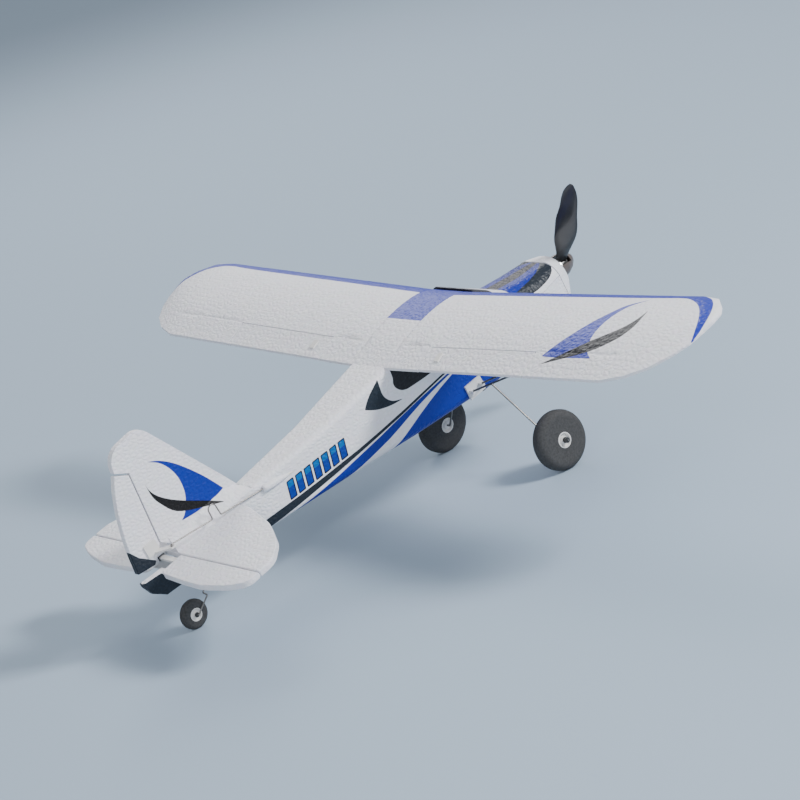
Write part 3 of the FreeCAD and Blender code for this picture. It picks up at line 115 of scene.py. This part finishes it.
def moulding(node, longest=4.0, print_edges=None, finest=0.9, rounding=0.0, score=()):
    """A copy of a moulding with softened rims, cut finer, and finest of all along its printed edges."""
    fine = bmesh.new()
    fine.from_mesh(frame["nodes"][node].data)
    bmesh.ops.remove_doubles(fine, verts=fine.verts, dist=2e-6)
    if rounding:
        bmesh.ops.dissolve_limit(fine, angle_limit=math.radians(1), verts=fine.verts, edges=fine.edges)
        rims = [e for e in fine.edges if len(e.link_faces) == 2 and e.calc_face_angle(0) > math.radians(38)]
        bmesh.ops.bevel(fine, geom=rims, offset=rounding / 1000, segments=3, profile=0.5, affect="EDGES",
                        material=-1, clamp_overlap=True)
        bmesh.ops.recalc_face_normals(fine, faces=fine.faces)
    bmesh.ops.triangulate(fine, faces=fine.faces)
    shade = fine.loops.layers.float_vector.new("shade")
    limit = math.cos(math.radians(34))
    for vert in fine.verts:
        ring = [(face.normal, face.calc_area()) for face in vert.link_faces]
        for corner in vert.link_loops:
            own = corner.face.normal
            corner[shade] = sum((way * area for way, area in ring if way.dot(own) > limit), Vector())
    for place, facing_way in score:
        through, across = flight @ Vector(place), lean_back.to_3x3() @ Vector(facing_way)
        bmesh.ops.bisect_plane(fine, geom=fine.verts[:] + fine.edges[:] + fine.faces[:], dist=1e-7,
                               plane_co=through, plane_no=across)
        bmesh.ops.triangulate(fine, faces=fine.faces)
    for _ in range(12):
        ends = np.array([(*e.verts[0].co, *e.verts[1].co) for e in fine.edges])
        run = np.linalg.norm(ends[:, :3] - ends[:, 3:], axis=1) * 1000
        wanted = run > longest
        if print_edges:
            open_runs = np.nonzero((run > finest) & ~wanted)[0]
            middles = (ends[open_runs, :3] + ends[open_runs, 3:]) / 2
            middles = middles @ from_flight[:3, :3].T + from_flight[:3, 3]
            wanted[open_runs] = print_edges(middles) < 0.5 * run[open_runs] + 0.3
        if not wanted.any():
            break
        marked = [e for e, wants in zip(fine.edges, wanted) if wants]
        bmesh.ops.subdivide_edges(fine, edges=marked, cuts=1)
        bmesh.ops.triangulate(fine, faces=fine.faces)
    ways = [tuple(Vector(corner[shade]).normalized()) for face in fine.faces for corner in face.loops]
    fine.loops.layers.float_vector.remove(shade)
    mesh = bpy.data.meshes.new(node + "_foam")
    fine.to_mesh(mesh)
    fine.free()
    mesh.polygons.foreach_set("use_smooth", [True] * len(mesh.polygons))
    mesh.normals_split_custom_set(ways)
    return mesh


def note(mesh, name, values):
    """Keep a printed area's distances on the mesh, for its paint to read."""
    attribute = mesh.attributes.new(name, "FLOAT", "POINT")
    attribute.data.foreach_set("value", np.clip(values, -30, 30).astype(np.float32))


def fit_piece(mesh, name, body, *nodes, slot="foam"):
    """Link a finished mesh, let it ride on its body and stand for the plain mouldings."""
    piece = bpy.data.objects.new(name, mesh)
    bpy.context.scene.collection.objects.link(piece)
    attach(piece, body)
    if nodes:
        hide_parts(*nodes)
    return piece


def wire(material, start, socket, end, into):
    material.node_tree.links.new(start.outputs[socket], end.inputs[into])


def foam_paint(name, inks=(), grain=1.0):
    """Satin bead foam, with printed areas laid over it in order: (noted area, colour, outline width)."""
    paint = bpy.data.materials.new(name)
    paint.use_nodes = True
    make = paint.node_tree.nodes.new
    skin = paint.node_tree.nodes["Principled BSDF"]
    skin.inputs["Roughness"].default_value = 0.5
    skin.inputs["Specular IOR Level"].default_value = 0.25
    where = make("ShaderNodeTexCoord")
    flatten = make("ShaderNodeMapping")
    flatten.inputs["Scale"].default_value = (215, 235, 330)
    wire(paint, where, "Object", flatten, "Vector")
    beads = make("ShaderNodeTexVoronoi")
    beads.feature = "DISTANCE_TO_EDGE"
    beads.inputs["Scale"].default_value = 1.0
    beads.inputs["Randomness"].default_value = 0.75
    wire(paint, flatten, "Vector", beads, "Vector")
    seams = make("ShaderNodeMapRange")
    seams.interpolation_type = "SMOOTHSTEP"
    seams.inputs["From Max"].default_value = 0.42
    wire(paint, beads, "Distance", seams, "Value")
    cells = make("ShaderNodeTexVoronoi")
    cells.inputs["Scale"].default_value = 1.0
    cells.inputs["Randomness"].default_value = 0.75
    wire(paint, flatten, "Vector", cells, "Vector")
    fine = make("ShaderNodeTexNoise")
    fine.inputs["Scale"].default_value = 900
    fine.inputs["Detail"].default_value = 3
    wire(paint, where, "Object", fine, "Vector")
    broad = make("ShaderNodeTexNoise")
    broad.inputs["Scale"].default_value = 28
    broad.inputs["Detail"].default_value = 2
    wire(paint, where, "Object", broad, "Vector")
    tone = make("ShaderNodeMix")
    tone.data_type = "RGBA"
    tone.inputs["A"].default_value = tuple(0.955 * c for c in FOAM_WHITE[:3]) + (1,)
    tone.inputs["B"].default_value = FOAM_WHITE
    wire(paint, seams, "Result", tone, "Factor")
    mottle = make("ShaderNodeMix")
    mottle.data_type = "RGBA"
    mottle.blend_type = "MULTIPLY"
    mottle.inputs["Factor"].default_value = 0.04
    wire(paint, tone, "Result", mottle, "A")
    wire(paint, cells, "Color", mottle, "B")
    cloud = make("ShaderNodeMix")
    cloud.data_type = "RGBA"
    cloud.blend_type = "MULTIPLY"
    cloud.inputs["Factor"].default_value = 0.06
    wire(paint, mottle, "Result", cloud, "A")
    wire(paint, broad, "Fac", cloud, "B")
    colour = cloud
    gloss = None
    for area, ink, rim in inks:
        read = make("ShaderNodeAttribute")
        read.attribute_name = area
        layers = [(LINE_BLACK, -rim)] if rim else []
        for shade, reach in layers + [(ink, 0.0)]:
            edge = make("ShaderNodeMapRange")
            edge.inputs["From Min"].default_value = reach - 0.12
            edge.inputs["From Max"].default_value = reach + 0.12
            wire(paint, read, "Fac", edge, "Value")
            laid = make("ShaderNodeMix")
            laid.data_type = "RGBA"
            laid.inputs["B"].default_value = shade
            wire(paint, edge, "Result", laid, "Factor")
            wire(paint, colour, "Result", laid, "A")
            colour = laid
            if gloss is None:
                gloss = edge
            else:
                either = make("ShaderNodeMath")
                either.operation = "MAXIMUM"
                wire(paint, gloss, 0, either, 0)
                wire(paint, edge, 0, either, 1)
                gloss = either
    wire(paint, colour, "Result", skin, "Base Color")
    if gloss is not None:
        sheen = make("ShaderNodeMapRange")
        sheen.inputs["To Min"].default_value = 0.5
        sheen.inputs["To Max"].default_value = 0.42
        wire(paint, gloss, 0, sheen, "Value")
        wire(paint, sheen, "Result", skin, "Roughness")
    relief = make("ShaderNodeMath")
    relief.operation = "MULTIPLY_ADD"
    relief.inputs[1].default_value = 0.25
    wire(paint, fine, "Fac", relief, 0)
    wire(paint, seams, "Result", relief, 2)
    bump = make("ShaderNodeBump")
    bump.inputs["Strength"].default_value = 0.5 * grain
    bump.inputs["Distance"].default_value = 0.0006
    wire(paint, relief, "Value", bump, "Height")
    wire(paint, bump, "Normal", skin, "Normal")
    return paint


def girth(places):
    """Distance round the body from the top centre line: across the top, then down the side."""
    crest = np.interp(places[:, 1], *zip(*CREST))
    return np.abs(places[:, 0]) + np.maximum(crest - places[:, 2], 0)


HALF_WIDTH = [(-174, 22.1), (-150, 25.6), (-127, 27.0), (-97, 27.0), (-75.7, 26.3), (1, 22.0), (69.9, 17.0),
              (139.6, 12.0), (179.6, 8.2), (211, 4.6), (243, 2.6)]
slate_band = [(-80, -34.2), (-36.5, -34.9), (-14.4, -36.1), (7.3, -37.3), (28.4, -38.2), (49.4, -38.6),
              (68.7, -38.2), (89, -37.8), (108.4, -37.0), (139.9, -35.0), (168, -32.5), (196, -31.5),
              (200, -50), (139, -42.6), (111, -42.6), (91.5, -42.5), (71.7, -42.3), (50.9, -41.6),
              (29.9, -40.7), (8.8, -39.7), (-13, -38.2), (-38.5, -36.4), (-80, -35.0)]
blue_band = [(-90, -35.8), (-39.7, -37.4), (-13, -38.5), (8.8, -40.0), (14.1, -40.4), (30.5, -41.9),
             (51.8, -43.3), (73, -44.6), (93.4, -45.3), (123, -45.6), (130, -46), (130, -62), (76, -62),
             (75.4, -52.4), (67.3, -52.0), (56.8, -51.3), (45.7, -50.3), (35.2, -49.4), (24.3, -48.3),
             (12.8, -46.4), (1, -44.1), (-10.7, -42.2), (-22.2, -40.8), (-33.6, -39.6), (-41.9, -39.0),
             (-90, -37.2)]
blue_flank = [(-70, -37.8), (-56, -39.0), (-44.3, -40.5), (-31.7, -42.8), (-19.3, -45.6), (-6.7, -48.9),
              (6.1, -52.7), (18.7, -56.4), (28.2, -58.7), (32, -62), (34, -90), (-150, -90), (-150, -66),
              (-138, -52), (-115, -42), (-90, -38.4)]
window = eased([(-1.5, -4), (-0.6, -11.2), (1.2, -15.3), (0.7, -19.3), (-2.2, -23.2), (-6.2, -25.4),
                (-11, -26.3), (-26.8, -27.8), (-47, -28.6), (-47, -4)], hard=(0, 8, 9))
front_window = [(-51, -4), (-51, -28.6), (-78, -28.2), (-90, -22), (-94, -10), (-94, -4)]
swoosh = eased([(11.2, -5.0), (20.1, -9.0), (26.7, -13.2), (31.1, -17.2), (26.2, -20.8), (20.1, -24.2),
                (10.7, -27.5), (0.5, -29.4), (7.8, -26.0), (11.9, -20.8), (13.0, -15.9),
                (12.4, -11.1)], hard=(0, 3, 7))
tail_patch = [(229, -13.5), (213, -36), (213, -60), (250, -60), (250, -11)]
windscreen = [(-33, -94), (33, -94), (35, -103), (31, -113), (-31, -113), (-35, -103)]
BAR_COUNT, BAR_STEP, BAR_WIDTH, BAR_HEIGHT = 7, 8.3, 5.0, 12.2
BAR_SLANT, BAR_TOP_LINE, BAR_OUTLINE = 3.2, 8.0, 0.9


def side_prints(places):
    """Distances to each printed area of the body sides; the windscreen alone reads across the top."""
    y, z = places[:, 1], places[:, 2]
    bars, tops = np.full(len(y), -30.0), np.full(len(y), -30.0)
    for number in range(BAR_COUNT):
        near = 60.5 + BAR_STEP * number
        far = near + BAR_WIDTH
        base = -36.4 + 1.7 * (near - 58) / 60
        top = base + BAR_HEIGHT
        bar = inside(y, z, [(near, base), (far, base), (far - BAR_SLANT, top), (near - BAR_SLANT, top)])
        bars, tops = np.maximum(bars, bar), np.maximum(tops, np.minimum(bar, z - base - BAR_TOP_LINE))
    return {"slate": np.maximum(inside(y, z, slate_band), inside(y, z, tail_patch)),
            "blue": np.maximum(inside(y, z, blue_band), inside(y, z, blue_flank)),
            "window": np.maximum(inside(y, z, window), inside(y, z, front_window)),
            "swoosh": inside(y, z, swoosh), "bar_rims": bars + BAR_OUTLINE, "bars": bars, "bar_tops": tops,
            "windscreen": inside(np.sign(places[:, 0]) * girth(places), y, windscreen)}


def nearest_print(prints, only):
    """A test for cutting finer: the distance from the nearest printed edge, where only() holds."""
    def distance(places):
        far = np.full(len(places), 99.0)
        wanted = only(places)
        if wanted.any():
            far[wanted] = np.min([np.abs(values) for values in prints(places[wanted]).values()], axis=0)
        return far
    return distance


def on_skin(places):
    half = np.interp(places[:, 1], *zip(*HALF_WIDTH))
    on_front = (places[:, 1] < -93) & (girth(places) - np.abs(places[:, 0]) < 3.5)
    return (np.abs(places[:, 0]) > half - 3.2) | on_front


shell_paint = foam_paint("fuselage_print", [
    ("slate", SLATE, 0), ("blue", ROYAL, 0), ("window", WINDOW, 0), ("windscreen", (0.03, 0.03, 0.036, 1), 0),
    ("swoosh", SLATE, 0.2), ("bar_rims", LINE_BLACK, 0), ("bars", (0.004, 0.030, 0.26, 1), 0),
    ("bar_tops", (0.0, 0.11, 0.36, 1), 0)])
for side_name in ("left", "right"):
    mesh = moulding("fuselage_" + side_name, longest=5.0, print_edges=nearest_print(side_prints, on_skin))
    places, facing = flight_places(mesh), flight_normals(mesh)
    outer = np.where((np.abs(facing[:, 0]) > 0.2) | (facing[:, 2] < -0.2), 30.0, -30.0)
    for area, values in side_prints(places).items():
        note(mesh, area, values if area == "windscreen" else np.minimum(outer, values))
    mesh.materials.append(shell_paint)
    fit_piece(mesh, "fuselage_shell_" + side_name, "airframe", "fuselage_" + side_name)

# The battery hatch is a foam lid on the nose, hinged at its front edge. Its top is printed with a
# grey centre stripe between two blue ones, and dark flanks with a fine black outline.
HATCH_STRIPE = [(-176, 2.6), (-171, 3.4), (-160, 5.2), (-145, 6.5), (-127, 6.7)]
HATCH_BLUE = [(-176, 4.0), (-170, 9.4), (-160, 16.2), (-148, 20.6), (-133.5, 25.0), (-127, 27.0)]
flank_half = [(12.3, -175.2), (19.5, -173.6), (25.2, -169.8), (29.8, -163), (32.6, -153.8), (34.3, -144),
              (35.5, -130), (35.6, -125)]
dark_flank = eased(flank_half + [(-u, v) for u, v in flank_half[::-1]], hard=(7, 8))


def lid_prints(places):
    round_it = girth(places)
    panel = inside(np.sign(places[:, 0]) * round_it, places[:, 1], dark_flank)
    return {"panel": panel,
            "panel_blue": np.minimum(np.interp(places[:, 1], *zip(*HATCH_BLUE)) - round_it, panel),
            "panel_grey": np.minimum(np.interp(places[:, 1], *zip(*HATCH_STRIPE)) - round_it, panel)}


def on_lid(places):
    return np.hypot(places[:, 0], places[:, 2] + 56) > 20


mesh = moulding("hatch", longest=3.0, print_edges=nearest_print(lid_prints, on_lid))
facing = flight_normals(mesh)
skin = np.where((facing[:, 2] > -0.2) & (np.abs(facing[:, 1]) < 0.9), 30.0, -30.0)
for area, values in lid_prints(flight_places(mesh)).items():
    note(mesh, area, np.minimum(values, skin))
mesh.materials.append(foam_paint("hatch_print", [
    ("panel", SLATE, 0.7), ("panel_blue", ROYAL, 0), ("panel_grey", (0.030, 0.028, 0.036, 1), 0)]))
fit_piece(mesh, "battery_hatch", "hatch", "hatch")


# The cowl is a thin-walled white ring round the motor, with a finely beaded skin. The propeller is black
# glass-filled nylon, and the small spinner over its hub is moulded in dark brown-grey.
def plastic(name, colour, rough=0.35, speckle=0.08, scale=60, bump_depth=0.0001, metallic=0.0, coat=0.0):
    """Moulded plastic, wire or card: an even colour with faint mottling, scuffs and a fine skin."""
    paint = bpy.data.materials.new(name)
    paint.use_nodes = True
    make = paint.node_tree.nodes.new
    skin = paint.node_tree.nodes["Principled BSDF"]
    skin.inputs["Metallic"].default_value = metallic
    skin.inputs["Coat Weight"].default_value = coat
    where = make("ShaderNodeTexCoord")
    broad = make("ShaderNodeTexNoise")
    broad.inputs["Scale"].default_value = scale
    broad.inputs["Detail"].default_value = 5
    wire(paint, where, "Object", broad, "Vector")
    mottle = make("ShaderNodeMix")
    mottle.data_type = "RGBA"
    mottle.inputs["A"].default_value = tuple(c * (1 - speckle) for c in colour) + (1,)
    mottle.inputs["B"].default_value = tuple(min(c * (1 + speckle) + 0.1 * speckle, 1) for c in colour) + (1,)
    wire(paint, broad, "Fac", mottle, "Factor")
    wire(paint, mottle, "Result", skin, "Base Color")
    wear = make("ShaderNodeMapRange")
    wear.inputs["To Min"].default_value = max(rough - 0.08, 0.05)
    wear.inputs["To Max"].default_value = rough + 0.08
    wire(paint, broad, "Fac", wear, "Value")
    wire(paint, wear, "Result", skin, "Roughness")
    fine = make("ShaderNodeTexNoise")
    fine.inputs["Scale"].default_value = scale * 22
    fine.inputs["Detail"].default_value = 2
    wire(paint, where, "Object", fine, "Vector")
    bump = make("ShaderNodeBump")
    bump.inputs["Strength"].default_value = 0.25
    bump.inputs["Distance"].default_value = bump_depth
    wire(paint, fine, "Fac", bump, "Height")
    wire(paint, bump, "Normal", skin, "Normal")
    return paint


def finish_nodes(material, *nodes):
    """Give carried-over pieces their finish."""
    for node in nodes:
        holder = frame["nodes"][node].data.materials
        holder.clear()
        holder.append(material)


cowl_mesh = moulding("cowl", longest=3.0, rounding=0.5)
fit_piece(cowl_mesh, "cowl_ring", "airframe", "cowl", slot="white_plastic")
cowl_mesh.materials.append(foam_paint("cowl_foam", grain=0.6))
finish_nodes(plastic("prop_nylon", (0.012, 0.012, 0.013), rough=0.32, coat=0.25, speckle=0.3), "propeller")
finish_nodes(plastic("spinner_plastic", (0.075, 0.058, 0.052), rough=0.3, coat=0.3), "spinner")
finish_nodes(plastic("turned_aluminium", (0.62, 0.62, 0.64), rough=0.28, metallic=1.0, scale=200),
             "motor_bell", "motor_mount", "prop_adapter")
finish_nodes(plastic("ground_steel", (0.55, 0.55, 0.56), rough=0.25, metallic=1.0, scale=300), "motor_shaft")
finish_nodes(plastic("plywood", (0.50, 0.36, 0.21), rough=0.6, speckle=0.25, scale=90, bump_depth=0.0002),
             "firewall", "servo_tray", "battery_shelf")

# The wing is one foam moulding from tip to tip, flat underneath, with a blue leading edge that
# thins out round each tip. A shallow moulded crease carries the aileron hinge line on either side.
CREASE = -20.6
edge_band = eased([(-2, -99), (262, -99), (277, -93.0), (289.5, -86.5), (298.5, -77), (304.3, -66),
                   (306.6, -55), (306.2, -42), (304.2, -50), (301.2, -58), (296, -66.5), (288, -75),
                   (277, -81.5), (262, -85.0), (222, -83.4), (20, -81.6),
                   (-2, -81.6)], hard=(0, 1, 7, 15, 16))
fast_blue = eased([(-237.5, -80.8), (-222.4, -71.2), (-214.6, -61.1), (-207, -51.0), (-199.1, -39.4),
                   (-191.2, -28.6), (-183.5, -16.8), (-193.1, -16.2), (-216.7, -16.4), (-233.7, -16.7),
                   (-225.6, -23), (-220.6, -32.5), (-218.8, -43.4), (-220.5, -56.8),
                   (-226.0, -69.7)], hard=(0, 6, 9))
fast_grey = eased([(-249.4, -65.5), (-246.8, -53), (-238.2, -42.9), (-218.7, -30.0), (-200.9, -18.2),
                   (-186.0, -9.6), (-206, -15.4), (-225.5, -21.6), (-238.5, -28.6), (-248.2, -37.9),
                   (-251.8, -49.4)], hard=(0, 5))


def wing_prints(places):
    x, y = places[:, 0], places[:, 1]
    return {"edge_blue": inside(np.abs(x), y, edge_band),
            "centre_blue": inside(x, y, [(-20, -45.6), (20, -45.6), (20, -90), (-20, -90)]),
            "fast_blue": inside(x, y, fast_blue), "fast_grey": inside(x, y, fast_grey)}


def on_top_skin(places):
    rise = places[:, 2] + 4.8 - (np.abs(places[:, 0]) - 20) * 0.0437
    return rise > 4.2


creases = [((0, CREASE + step, 0), (0, 1, 0)) for step in (-1.0, 0, 1.0)]
creases += [((side * 20.0 + step, 0, 0), (1, 0, 0)) for side in (-1, 1) for step in (-1.1, 0, 1.1)]
wing_mesh = moulding("wing", longest=5.0, print_edges=nearest_print(wing_prints, on_top_skin), score=creases)
places, facing = flight_places(wing_mesh), flight_normals(wing_mesh)
x, y, z = places.T
reach = np.abs(x)
in_crease = (np.abs(y - CREASE) < 0.05) & (facing[:, 2] > 0.3)
in_crease &= ((reach > 28) & (reach < 58.5)) | ((reach > 176) & (reach < 256))
in_seam = (np.abs(reach - 20.0) < 0.05) & (facing[:, 2] > 0.2) & (y < -1) & (y > -92)
down = lean_back.to_3x3() @ Vector((0, 0, -0.0008))
for index in np.nonzero(in_crease | in_seam)[0]:
    wing_mesh.vertices[int(index)].co += down
above = np.where(facing[:, 2] > 0.15, 30.0, -30.0)
for area, values in wing_prints(places).items():
    mask = np.where(facing[:, 2] > -0.6, 30.0, -30.0) if area == "edge_blue" else above
    note(wing_mesh, area, np.minimum(values, mask))
wing_mesh.materials.append(foam_paint("wing_print", [
    ("edge_blue", (0.020, 0.036, 0.34, 1), 0), ("centre_blue", (0.032, 0.048, 0.36, 1), 0),
    ("fast_blue", (0.032, 0.048, 0.36, 1), 0), ("fast_grey", (0.012, 0.013, 0.018, 1), 0)]))
fit_piece(wing_mesh, "wing_moulding", "airframe", "wing")
carbon = plastic("carbon_rod", (0.018, 0.018, 0.019), rough=0.4, speckle=0.4, scale=400)
finish_nodes(carbon, "wing_spars", "wing_struts")
moulded_black = plastic("moulded_black", (0.02, 0.02, 0.021), rough=0.45, speckle=0.15)
finish_nodes(moulded_black, "wing_mount_bars", "gear_plate", "tail_bracket")

# The ailerons are solid foam wedges on a hinge line, each driven from below through a horn whose
# backplate shows on top. Like the tailplane and elevator they carry no printing.
plain_foam = foam_paint("plain_foam")
for side_name in ("left", "right"):
    mesh = moulding("aileron_" + side_name, longest=8.0, rounding=0.4)
    mesh.materials.append(plain_foam)
    fit_piece(mesh, "aileron_wedge_" + side_name, side_name + "_aileron", "aileron_" + side_name)
nylon_white = plastic("nylon_white", (0.66, 0.65, 0.63), rough=0.4, speckle=0.06)
finish_nodes(nylon_white, "aileron_horn_left", "aileron_horn_right", "elevator_horn", "rudder_horn",
             "elevator_joiner", "aileron_arm_left", "aileron_arm_right", "elevator_arm", "rudder_arm",
             "strut_clips")

# The tailplane, elevator, fin and rudder are 5 mm foam slabs with soft rims. The fin and rudder carry
# a blue crescent, a black one that crosses it, and a dark corner at the rudder's foot.
SLAB_RIM = 0.9
for node, body, name in (("tailplane", "airframe", "tailplane_slab"),
                         ("elevator_left", "elevator", "elevator_slab_left"),
                         ("elevator_right", "elevator", "elevator_slab_right")):
    mesh = moulding(node, longest=8.0, rounding=SLAB_RIM)
    mesh.materials.append(plain_foam)
    fit_piece(mesh, name, body, node)
crescent_blue = eased([(194.6, 56.2), (185.3, 50.5), (176.8, 42.2), (168, 30.1), (159.9, 16.6),
                       (152.6, 2.0), (158.3, 1.2), (164.2, 1.1), (170.7, 1.1), (181, 1.6), (193.2, 3.8),
                       (188, 6.9), (182.1, 14.8), (179.4, 22.9), (179.1, 32.3), (181.6, 41.5),
                       (186.5, 49.4)], hard=(0, 5, 10))
crescent_black = eased([(203.6, 43.8), (203.4, 32.7), (200.4, 24), (193.0, 12.2), (177.1, 2.6),
                        (158.2, -5.0), (169, 3.2), (184.1, 14.9), (194.0, 23.9), (200.0, 31.4),
                        (202.8, 37.7)], hard=(0, 5))
foot = [(243, 14.0), (239.6, 11.4), (235.2, 3.6), (225.2, -6.2), (225.2, -14), (248, -14)]


def fin_prints(places):
    y, z = places[:, 1], places[:, 2]
    return {"crescent_blue": inside(y, z, crescent_blue), "crescent_black": inside(y, z, crescent_black),
            "foot": inside(y, z, foot)}


fin_paint = foam_paint("fin_print", [
    ("crescent_blue", ROYAL, 0), ("crescent_black", LINE_BLACK, 0), ("foot", SLATE, 0)])
for node, body, name in (("fin", "airframe", "fin_slab"), ("rudder", "rudder", "rudder_slab")):
    near_print = nearest_print(fin_prints, lambda at: np.abs(at[:, 0]) > 1.0)
    mesh = moulding(node, longest=5.0, print_edges=near_print, rounding=SLAB_RIM)
    for area, values in fin_prints(flight_places(mesh)).items():
        note(mesh, area, values)
    mesh.materials.append(fin_paint)
    fit_piece(mesh, name, body, node)

# The servos sit in small dark blue cases with a gloss skin. Their pushrods are bright
# spring wire; the tail ones run in plastic tubes inside the fuselage.
finish_nodes(plastic("servo_case", (0.03, 0.035, 0.09), rough=0.25, coat=0.4), "aileron_servo_left",
             "aileron_servo_right", "rudder_servo", "elevator_servo")
bright_wire = plastic("spring_wire", (0.22, 0.21, 0.20), rough=0.32, metallic=1.0, scale=500)
finish_nodes(bright_wire, "aileron_rod_left", "aileron_rod_right", "rudder_rod", "elevator_rod",
             "main_gear_wire", "tail_gear_wire", "screws")
finish_nodes(plastic("guide_tube", (0.70, 0.69, 0.62), rough=0.45), "rod_guides")
for label, side, exit_z, slope in (("rudder", -1, -14.1, 0.1774), ("elevator", 1, -30.4, 0.0491)):
    swelling = bmesh.new()
    outline = [(0.0, 1.3), (-0.2, 2.2), (-1.0, 2.8), (-4, 3.1), (-10, 2.9), (-18, 2.2), (-25, 1.2),
               (-29, 0.0)]
    ring = [swelling.verts.new((0, back, out)) for back, out in outline[:-1]]
    tip = swelling.verts.new((0, *outline[-1]))
    chain = [swelling.edges.new(pair) for pair in zip(ring, ring[1:] + [tip])]
    bmesh.ops.spin(swelling, geom=ring + [tip] + chain, cent=(0, 0, 0), axis=(0, 1, 0), angle=2 * math.pi,
                   steps=28, use_merge=True, use_duplicate=False)
    bmesh.ops.remove_doubles(swelling, verts=swelling.verts, dist=1e-4)
    rim = [e for e in swelling.edges if e.is_boundary]
    bmesh.ops.contextual_create(swelling, geom=rim)
    bmesh.ops.recalc_face_normals(swelling, faces=swelling.faces)
    aim = Matrix.Translation((side * 13.2, 131.4, exit_z)) @ Matrix.Rotation(math.atan(slope), 4, "X")
    swelling.transform(flight @ aim)
    mesh = bpy.data.meshes.new(label + "_rod_fairing")
    swelling.to_mesh(mesh)
    swelling.free()
    mesh.polygons.foreach_set("use_smooth", [True] * len(mesh.polygons))
    mesh.set_sharp_from_angle(angle=math.radians(50))
    mesh.materials.append(plain_foam)
    fit_piece(mesh, label + "_rod_fairing", "airframe")

# Each strut pair runs from a white plate on the cabin side to two nylon clips under the wing.
# The plates are small glossy mouldings fixed flat to the shells.
finish_nodes(plastic("strut_plate", (0.62, 0.62, 0.63), rough=0.25, coat=0.5), "strut_plates")

# The wheels are black foam tyres pressed on white plastic hubs, free on the ends of the gear wire
# and kept there by small black collars.
tyre_foam = plastic("tyre_foam", (0.016, 0.016, 0.017), rough=0.85, speckle=0.5, scale=700, bump_depth=0.0006)
finish_nodes(tyre_foam, "left_wheel_tyre", "right_wheel_tyre", "tail_wheel_tyre")
finish_nodes(nylon_white, "left_wheel_hub", "right_wheel_hub", "tail_wheel_hub")
finish_nodes(moulded_black, "wheel_collars")

# The battery is a shrink-wrapped two-cell pack held by a woven strap over its shelf; the receiver
# with its speed control is a small dark case behind it.
finish_nodes(plastic("shrink_wrap", (0.03, 0.03, 0.04), rough=0.3, coat=0.3), "battery")
finish_nodes(plastic("woven_strap", (0.02, 0.02, 0.02), rough=0.9, speckle=0.4, scale=800, bump_depth=0.0004),
             "battery_strap")
finish_nodes(plastic("receiver_case", (0.03, 0.03, 0.032), rough=0.4), "receiver")

# A plain pale floor, soft lights, and the camera behind, above and to the right of the aeroplane.
floor_bm = bmesh.new()
bmesh.ops.create_grid(floor_bm, x_segments=2, y_segments=2, size=40)
floor_mesh = bpy.data.meshes.new("floor")
floor_bm.to_mesh(floor_mesh)
floor_bm.free()
floor = bpy.data.objects.new("floor", floor_mesh)
bpy.context.scene.collection.objects.link(floor)
floor_paint = plastic("floor_paint", (0.33, 0.42, 0.52), rough=0.9, speckle=0.01, scale=3)
floor_mesh.materials.append(floor_paint)

world = bpy.data.worlds.new("soft_sky")
bpy.context.scene.world = world
world.use_nodes = True
world.node_tree.nodes["Background"].inputs["Color"].default_value = (0.90, 0.94, 1.0, 1)
world.node_tree.nodes["Background"].inputs["Strength"].default_value = 0.56
for name, place, size, power in (("key", (-1.7, -1.2, 1.7), 0.6, 84), ("fill", (-1.8, 2.0, 1.3), 1.6, 34),
                                 ("rim", (1.8, -1.0, 1.6), 1.2, 28)):
    lamp = bpy.data.lights.new(name, "AREA")
    lamp.size = size
    lamp.energy = power
    holder = bpy.data.objects.new(name, lamp)
    bpy.context.scene.collection.objects.link(holder)
    holder.location = place
    holder.rotation_mode = "QUATERNION"
    holder.rotation_quaternion = (Vector((0, 0, 0.1)) - Vector(place)).to_track_quat("-Z", "Y")

lens = bpy.data.cameras.new("camera")
lens.lens = 119.45
lens.clip_start, lens.clip_end = 0.05, 200
camera = bpy.data.objects.new("camera", lens)
bpy.context.scene.collection.objects.link(camera)
CAMERA_PLACE = (-1535.6, 903.6, 779.0)
right, up = Vector((-0.6194, -0.6622, -0.4218)), Vector((0.0799, -0.5876, 0.8052))
back = Vector((-0.781, 0.465, 0.4169))
turn = (lean_back.to_3x3() @ Matrix((right, up, back)).transposed()).to_4x4()
camera.matrix_world = Matrix.Translation(flight @ Vector(CAMERA_PLACE)) @ turn
bpy.context.scene.camera = camera
